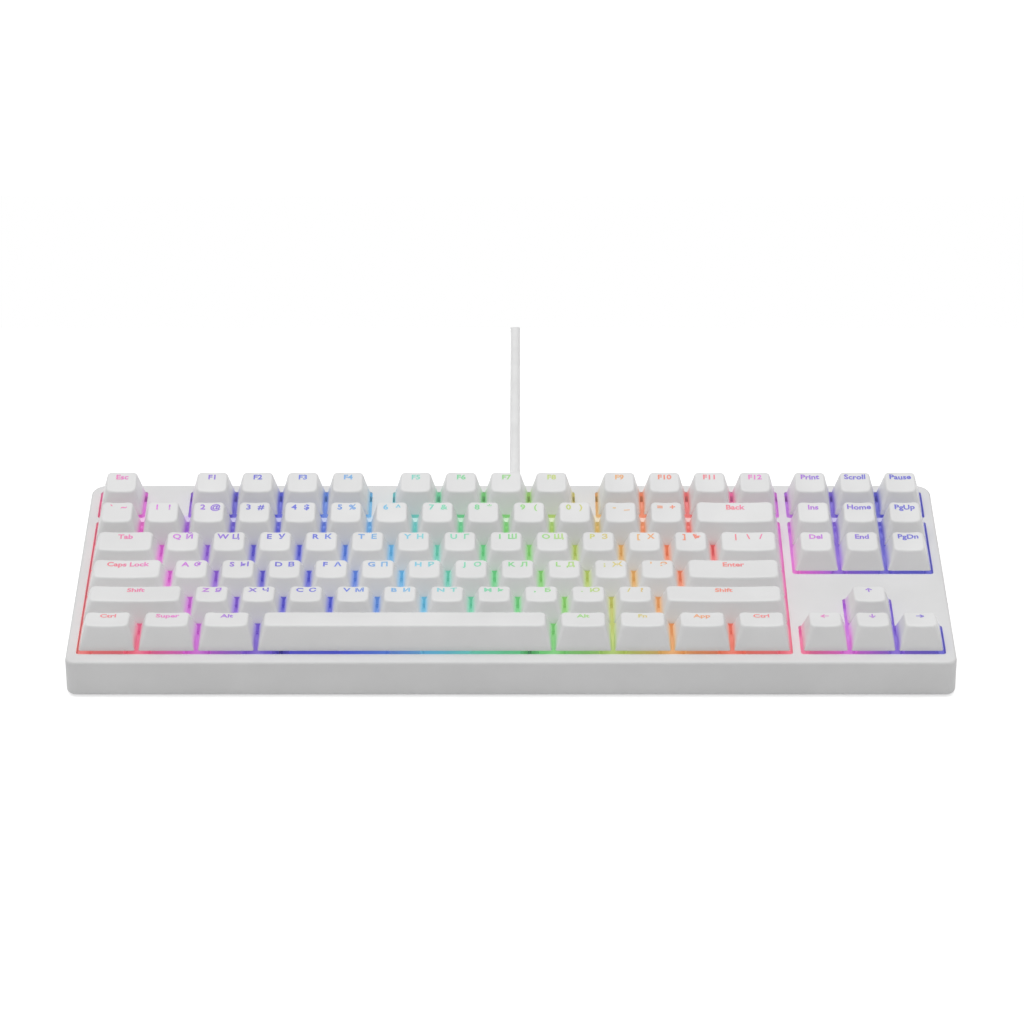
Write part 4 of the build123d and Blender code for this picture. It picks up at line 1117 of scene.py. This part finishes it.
@dataclass(frozen=True)
class Boot:
    """The ribbed rubber boot that keeps the cord from kinking where it leaves the case."""

    middle: tuple[float, float] = (1.5 * MM, 8.5 * MM)
    flange_radius: float = 5.0 * MM
    neck_radius: float = 3.6 * MM
    root_radius: float = 4.6 * MM
    tip_radius: float = 3.1 * MM
    rib_count: int = 7
    rib_depth: float = 0.7 * MM
    flange_depth: float = 1.5 * MM
    neck_length: float = 3.2 * MM
    hub_radius: float = 0.3 * MM
    mouth_radius: float = 2.3 * MM
    mouth_share: float = 0.97
    points_along: int = 90
    points_around: int = 48

    def profile(self) -> tuple[np.ndarray, np.ndarray]:
        """Places along the boot and their radii.

        Flange and neck are straight steps; the free part tapers evenly and each rib's groove takes
        away its depth times a narrow raised cosine. The last of it rounds in to the mouth by a
        quarter circle.
        """
        low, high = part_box("strain_relief")
        inner = low.y + self.flange_depth
        wall = inner + self.neck_length
        share = np.linspace(0.0, 1.0, self.points_along)
        taper = self.root_radius + (self.tip_radius - self.root_radius) * share
        groove = (0.5 + 0.5 * np.cos(2 * math.pi * (self.rib_count * share - 0.5))) ** 3
        window = np.clip(share / 0.08, 0, 1) * np.clip((1 - share) / 0.06, 0, 1)
        free = taper - self.rib_depth * groove * window
        into_mouth = np.clip((share - self.mouth_share) / (1 - self.mouth_share), 0, 1)
        rounding = np.sqrt(1 - into_mouth**2)
        free = self.mouth_radius + (free - self.mouth_radius) * rounding
        along = np.concatenate([[low.y, low.y, inner, inner, wall], wall + (high.y - wall) * share])
        flange, neck = [self.flange_radius] * 2, [self.neck_radius] * 2
        return along, np.concatenate([[self.hub_radius], flange, neck, free])

    def build(self, rubber: Material) -> Object:
        """Turns the profile about the cord's line: x and z are the radius times cosine and sine.

        Args:
            rubber: The boot's material.

        Returns:
            The boot.
        """
        along, radius = self.profile()
        angle = np.linspace(0, 2 * math.pi, self.points_around, endpoint=False)
        x = self.middle[0] + radius[:, None] * np.cos(angle)
        z = self.middle[1] + radius[:, None] * np.sin(angle)
        made = loft("cord_boot", [x, along[:, None], z], rubber)
        return seat(made, "case", "strain_relief", "strain_relief")


@dataclass(frozen=True)
class PlugGrip:
    """The plug's moulded grip: a neck over the cord, rounded shoulders and thumb ribs."""

    neck: float = 3.0 * MM
    corner: float = 2.0 * MM
    lip: float = 0.8 * MM
    rib_depth: float = 0.35 * MM
    ribs: int = 6
    ribs_from: float = 0.38
    ribs_to: float = 0.8
    points_along: int = 80
    outline: RoundedOutline = RoundedOutline(corner_steps=6, side_steps=3)

    def build(self, plastic: Material) -> Object:
        """Lofts rounded rectangles along the plug.

        The half width and height grow from the neck's by a smooth step over the first three tenths,
        dip at each rib by a raised cosine, and draw in by a quarter ellipse at the mouth.

        Args:
            plastic: The grip's material.

        Returns:
            The grip.
        """
        low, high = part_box("plug_grip")
        share = np.linspace(0.0, 1.0, self.points_along)
        swell = smooth_step(share / 0.3)
        starting, ending = (share - self.ribs_from) / 0.05, (self.ribs_to - share) / 0.05
        zone = np.clip(starting, 0, 1) * np.clip(ending, 0, 1)
        wave = (share - self.ribs_from) / (self.ribs_to - self.ribs_from)
        rib = self.rib_depth * zone * (0.5 - 0.5 * np.cos(2 * math.pi * self.ribs * wave))
        mouth = self.lip * (1 - np.sqrt(1 - np.clip((share - 0.96) / 0.04, 0, 1) ** 2))
        half_y = self.neck + ((high.y - low.y) / 2 - self.neck) * swell - rib - mouth
        half_z = self.neck + ((high.z - low.z) / 2 - self.neck) * swell - 0.4 * rib - mouth
        radius = np.minimum(self.neck + (self.corner - self.neck) * swell, 0.98 * half_z)
        flat = self.outline.rings(half_y, half_z, radius)
        x = (low.x + (high.x - low.x) * share)[:, None]
        y = flat[..., 0] + (low.y + high.y) / 2
        z = flat[..., 1] + (low.z + high.z) / 2
        return seat(loft("plug_moulded_grip", [x, y, z], plastic), "case", "plug_grip", "plug_grip")


@dataclass(frozen=True)
class TieStrap:
    """The strap around one side of the coil: once round the turns, its end laid over its start."""

    thickness: float = 1.0 * MM
    corner: float = 3.0 * MM
    start_share: float = 0.2
    overlap: float = 13.0 * MM
    climb: float = 5.0 * MM
    loose_end: float = 6.0 * MM
    edge_radius: float = 0.4 * MM
    steps: int = 150
    path: RoundedOutline = RoundedOutline(corner_steps=8, side_steps=6)
    outline: RoundedOutline = RoundedOutline(corner_steps=3, side_steps=4)

    def build(self, textile: Material) -> Object:
        """Carries a flat rounded section round a rounded rectangle that hugs the turns.

        The path is that rectangle by its arc length, from a point on its top, once round and on by
        the overlap; there it moves out along its normal by a smooth step, and a little more at the
        loose end. The section's width lies along y and its thickness along the normal.

        Args:
            textile: The strap's material.

        Returns:
            The strap.
        """
        low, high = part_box("cord_tie")
        half = np.array([high.x - low.x, high.z - low.z]) / 2 - self.thickness / 2
        loop = self.path.rings(half[:1], half[1:], np.array([self.corner]))[0]
        loop = np.concatenate([loop, loop[:1]])
        run = np.concatenate([[0.0], np.cumsum(np.linalg.norm(np.diff(loop, axis=0), axis=1))])
        whole = run[-1]
        along = np.linspace(0.0, whole + self.overlap, self.steps)
        at = np.mod(along + self.start_share * whole, whole)
        x, z = np.interp(at, run, loop[:, 0]), np.interp(at, run, loop[:, 1])
        tangent = np.stack([np.gradient(x), np.gradient(z)], -1)
        tangent /= np.linalg.norm(tangent, axis=1)[:, None]
        normal = np.stack([tangent[:, 1], -tangent[:, 0]], -1)
        over = smooth_step((along - whole + self.climb) / self.climb)
        loose = np.clip((along - whole - self.overlap + self.loose_end) / self.loose_end, 0, 1)
        out = 1.08 * self.thickness * over + 0.7 * MM * loose**2
        middle = np.stack([x, z], -1) + normal * out[:, None]
        width = (high.y - low.y) / 2 - 0.12 * MM * (1 + np.cos(along / (4 * MM)))
        count = np.ones(self.steps)
        flat = self.outline.rings(width, count * self.thickness / 2, count * self.edge_radius)
        x = middle[:, 0, None] + normal[:, 0, None] * flat[..., 1] + (low.x + high.x) / 2
        y = flat[..., 0] + (low.y + high.y) / 2
        z = middle[:, 1, None] + normal[:, 1, None] * flat[..., 1] + (low.z + high.z) / 2
        made = loft("coil_tie_strap", [x, y, z], textile, crease=50.0)
        return seat(made, "case", "cord_tie", "cord_tie")


@dataclass(frozen=True)
class Cord:
    """The sheathed cord: out of the boot, straight back along the desk, coiled and tied."""

    radius: float = 2.25 * MM
    length: float = 1.5
    coil_middle: tuple[float, float] = (37.5, 316.0)
    outer_turn: float = 36.0
    inner_turn: float = 18.0
    turns: float = 7.25
    points_per_turn: int = 16

    def lead_out(self) -> np.ndarray:
        """The route from the boot to the coil, in millimetres."""
        in_air = [(1.5, 89.325, 8.5), (1.5, 100.325, 8.1), (1.7, 116.325, 4.6)]
        on_desk = [(1.6, 135.325, 2.27), (2.1, 272.0, 2.27)]
        return np.array(in_air + on_desk)

    def coil(self) -> np.ndarray:
        """The coil: inwards on the desk, up over half a turn, and outwards on top of itself.

        The angle falls evenly; the radius is the inner turn's plus the rest times the distance from
        the middle of the run; the height rises by a smooth step about the middle.
        """
        count = int(self.turns * self.points_per_turn) + 1
        share = np.linspace(0, 1, count)
        angle = math.pi - 2 * math.pi * self.turns * share
        radius = self.inner_turn + (self.outer_turn - self.inner_turn) * np.abs(2 * share - 1)
        height = 2.27 + 4.5 * smooth_step((share - 0.5) * self.turns / 0.9 + 0.5)
        x = self.coil_middle[0] + radius * np.cos(angle)
        y = self.coil_middle[1] + radius * np.sin(angle)
        return np.column_stack([x, y, height])

    def lead_to_plug(self) -> np.ndarray:
        """The route from the coil into the plug's neck, in millimetres."""
        return np.array([(50.5, 351.8, 6.45), (65.5, 352.8, 4.2), (80.5, 353.0, 3.9)])

    def build(self, sheath: Material, plug: list[Any]) -> Object:
        """Makes the cord's curve.

        Args:
            sheath: The cord's material.
            plug: What is on the cord's far end and around its coil; it is not used.

        Returns:
            The cord.
        """
        route = np.concatenate([self.lead_out(), self.coil(), self.lead_to_plug()]) * MM
        curve = bpy.data.curves.new("cord_sheath", "CURVE")
        curve.dimensions = "3D"
        curve.bevel_depth = self.radius
        curve.bevel_resolution = 5
        curve.resolution_u = 5
        curve.use_fill_caps = True
        spline = curve.splines.new("NURBS")
        spline.points.add(len(route) - 1)
        spline.points.foreach_set("co", np.column_stack([route, np.ones(len(route))]).ravel())
        spline.order_u = 3
        spline.use_endpoint_u = True
        curve.materials.append(sheath)
        made = linked("cord_sheath", curve)
        seat(made, "case", "cord", "cord", "cord_coil", "cord_end")
        return made


# ---------------------------------------------------------------- CAD nodes


class CadFinishes:
    """Dresses the CAD nodes whose shape is kept."""

    def __init__(self, deck: Deck) -> None:
        """Makes each finish once, and names the nodes that wear it."""
        # The case, the plate and the switch housings carry a painted glow of the light under the
        # keys.
        case = DeckSkin(
            "case_moulded_plastic_painted_glow", "#E6E6E6", 0.48, 0.3, strength=0.3, painted_glow_tint=0.45, deck=deck
        ).material()
        tray = MouldedPlastic("tray_moulded_plastic", "#E2E2E2", 0.55, 0.35, 0.015).material()
        coat = {"strength": 0.33, "painted_glow_tint": 0.5, "deck": deck}
        plate = LitPlastic("plate_powder_coat_lit", "#EDEDED", 0.45, 0.5, 0.03, **coat).material()
        upper = LitPlastic(
            "switch_milky_plastic_lit", "#F2F2F2", 0.3, 0.2, 0.004, strength=0.3, deck=deck
        ).material()
        lower = LitPlastic(
            "switch_base_milky_plastic_painted_glow", "#ECECEC", 0.4, 0.3, 0.006, strength=0.25, deck=deck
        ).material()
        steel = DrawnMetal("stabiliser_drawn_steel_wire", "#C8C8CC", 0.22).material()
        wires = [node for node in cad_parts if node.startswith("stabiliser_wire")]
        self.by_node = dict.fromkeys(wires, steel) | {
            "top_case": case,
            "bottom_case": tray,
            "left_foot": tray,
            "right_foot": tray,
            "switch_plate": plate,
            "plate_screws": plate,
            "switch_upper_housings": upper,
            "key_leds": upper,
            "switch_lower_housings": lower,
            "stabiliser_housings": lower,
        }
        own = {
            "circuit_board": SolderMask(),
            "damping_pad": SoftRubber("damping_foam_rubber", "#57575A", 0.85),
            "case_screws": DrawnMetal("screw_zinc_plating", "#B9BABD", 0.3, (1, 1, 0.1)),
            "controller_chips": MouldedPlastic("chip_moulding_epoxy", "#232326", 0.5, 0.12),
            "board_connector": MouldedPlastic("connector_nylon", "#EFEBDD", 0.45, 0.3),
            "inner_lead": SoftRubber("inner_lead_sheath", "#E2E2E4", 0.5),
            "rubber_pads": SoftRubber("desk_pad_rubber", "#8C8C8F", 0.8),
            "plug_shell": DrawnMetal("plug_shell_nickel_plating", "#CFCFD2", 0.2),
        }
        self.by_node |= {node: finish.material() for node, finish in own.items()}

    def dress(self) -> None:
        """Puts each finish on its node's material slots."""
        for node, material in self.by_node.items():
            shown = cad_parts[node]
            if not shown.material_slots:
                shown.data.materials.append(material)
            for slot in shown.material_slots:
                slot.material = material
            LOG.info("%s: %s", node, material.name)


# ---------------------------------------------------------------- studio


@dataclass(frozen=True)
class Studio:
    """White floor, a low white screen behind the keyboard, soft light from above, the camera."""

    camera_place: tuple[float, float, float] = (0.0004, -1.4275, 0.8139)
    camera_pitch: float = 61.82
    lens: float = 139.28
    sky: float = 0.515
    lamp: float = 1.52
    screen_y: float = 0.2766
    screen_lean: float = 30.6
    screen_reach: float = 0.52
    screen_half_width: float = 0.45
    floor_reach: float = 3.0

    def white_where_seen(self, name: str, lift: float) -> Material:
        """A white that keeps a faint shadow under its lift, the light of its own that it shows."""
        sheet = ShaderSheet(name)
        path = sheet.add("LightPath").outputs
        seen = sheet.maths("MAXIMUM", path["Is Camera Ray"], path["Is Glossy Ray"])
        seen = sheet.maths("MAXIMUM", seen, path["Is Transmission Ray"])
        white = sheet.ramp(sheet.noise(4.0), [(0.3, srgb("#E4E4E4")), (0.7, srgb("#E8E8E8"))])
        surface = sheet.add("BsdfDiffuse", {0: white})
        own = sheet.add("Emission", {0: srgb("#FFFFFF"), 1: sheet.product(seen, lift)})
        top = sheet.add("AddShader", {0: surface.outputs[0], 1: own.outputs[0]})
        # Clear from below, so that the underside of the keyboard can be looked at through it.
        below = sheet.add("NewGeometry").outputs["Backfacing"]
        clear = sheet.add("BsdfTransparent")
        mixed = {0: below, 1: top.outputs[0], 2: clear.outputs[0]}
        return sheet.close(sheet.add("MixShader", mixed))

    def sheet_of(self, name: str, corners: list[tuple], material: Material) -> Object:
        """A flat stage sheet over four corners."""
        mesh = bpy.data.meshes.new(name)
        mesh.from_pydata(corners, [], [[0, 1, 2, 3]])
        mesh.materials.append(material)
        made = linked(name, mesh)
        return made

    def floor(self) -> None:
        """The white desk."""
        reach, low = self.floor_reach, -0.05 * MM
        sides = ((-1, -1), (1, -1), (1, 1), (-1, 1))
        corners = [(x * reach, y * reach, low) for x, y in sides]
        self.sheet_of("floor", corners, self.white_where_seen("white_desk_paper", 0.6))

    def screen(self) -> None:
        """A white sheet that rises forwards from behind the cord's straight run.

        Only its lower face shows, so it closes off the desk behind it from the front and from low
        down, and it is clear from above, from the sides and from the back.
        """
        sheet = ShaderSheet("white_screen_paper")
        back = sheet.add("NewGeometry").outputs["Backfacing"]
        path = sheet.add("LightPath")
        seen = sheet.maths("SUBTRACT", path.outputs["Is Camera Ray"], back)
        # A look from under the desk has passed through it first, and is let through here as well.
        seen = sheet.maths("SUBTRACT", seen, path.outputs["Transparent Depth"])
        white = sheet.add("Emission", {0: srgb("#FFFFFF"), 1: 1.0})
        clear = sheet.add("BsdfTransparent")
        mixed = {0: seen, 1: clear.outputs[0], 2: white.outputs[0]}
        material = sheet.close(sheet.add("MixShader", mixed))
        lean = math.radians(self.screen_lean)
        x, y = self.screen_half_width, self.screen_y
        front, top = y - self.screen_reach * math.cos(lean), self.screen_reach * math.sin(lean)
        corners = [(-x, y, 0), (x, y, 0), (x, front, top), (-x, front, top)]
        made = self.sheet_of("screen", corners, material)
        for way in ("shadow", "diffuse", "glossy", "transmission"):
            setattr(made, f"visible_{way}", False)

    def light(self) -> None:
        """An even white room, and one large soft lamp overhead, a little behind the keyboard."""
        sheet = ShaderSheet("studio", bpy.data.worlds)
        path = sheet.add("LightPath").outputs
        seen = sheet.maths("MAXIMUM", path["Is Camera Ray"], path["Is Transmission Ray"])
        room = sheet.add("Background", {"Strength": sheet.remap(seen, (0, 1), (self.sky, 1))})
        sheet.add("OutputWorld", {"Surface": room.outputs[0]})
        bpy.context.scene.world = sheet.owner
        sun = bpy.data.lights.new("overhead_softbox", "SUN")
        sun.energy = self.lamp
        sun.angle = math.radians(50)
        linked("overhead_softbox", sun).rotation_euler = (math.radians(-6), math.radians(-5), 0)

    def camera(self) -> None:
        """The camera, in front of the keyboard and above it."""
        data = bpy.data.cameras.new("camera")
        data.lens = self.lens
        data.sensor_width = 36.0
        data.clip_end = 20.0
        holder = linked("camera", data)
        holder.location = self.camera_place
        holder.rotation_euler = (math.radians(self.camera_pitch), 0.0, 0.0)
        bpy.context.scene.camera = holder

    def build(self) -> None:
        """Sets the whole studio up."""
        bpy.context.scene.view_settings.view_transform = "Standard"
        self.camera()
        self.light()
        self.floor()
        self.screen()


def main() -> None:
    """Builds the studio, the cord and its ends, the keys, and dresses the CAD nodes."""
    logging.basicConfig(level=logging.INFO, format="%(name)s: %(message)s")
    Studio().build()
    LOG.info("studio: camera, light, floor and screen")
    deck = Deck()
    grip = PlugGrip().build(MouldedPlastic("plug_grip_moulded_plastic", "#DEDEE0", 0.5).material())
    boot = Boot().build(SoftRubber("boot_moulded_rubber", "#DCDCDE", 0.6).material())
    tie = TieStrap().build(WovenStrap().material())
    plug = [grip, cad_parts["plug_shell"], tie]
    cord = Cord().build(SoftRubber("cord_smooth_sheath", "#F6F6F6", 0.5, 0.15).material(), plug)
    for piece in (boot, cord, grip, tie):
        LOG.info("%s: built", piece.name)
    Keys(deck).build()
    CadFinishes(deck).dress()


if __name__ == "__main__":
    main()
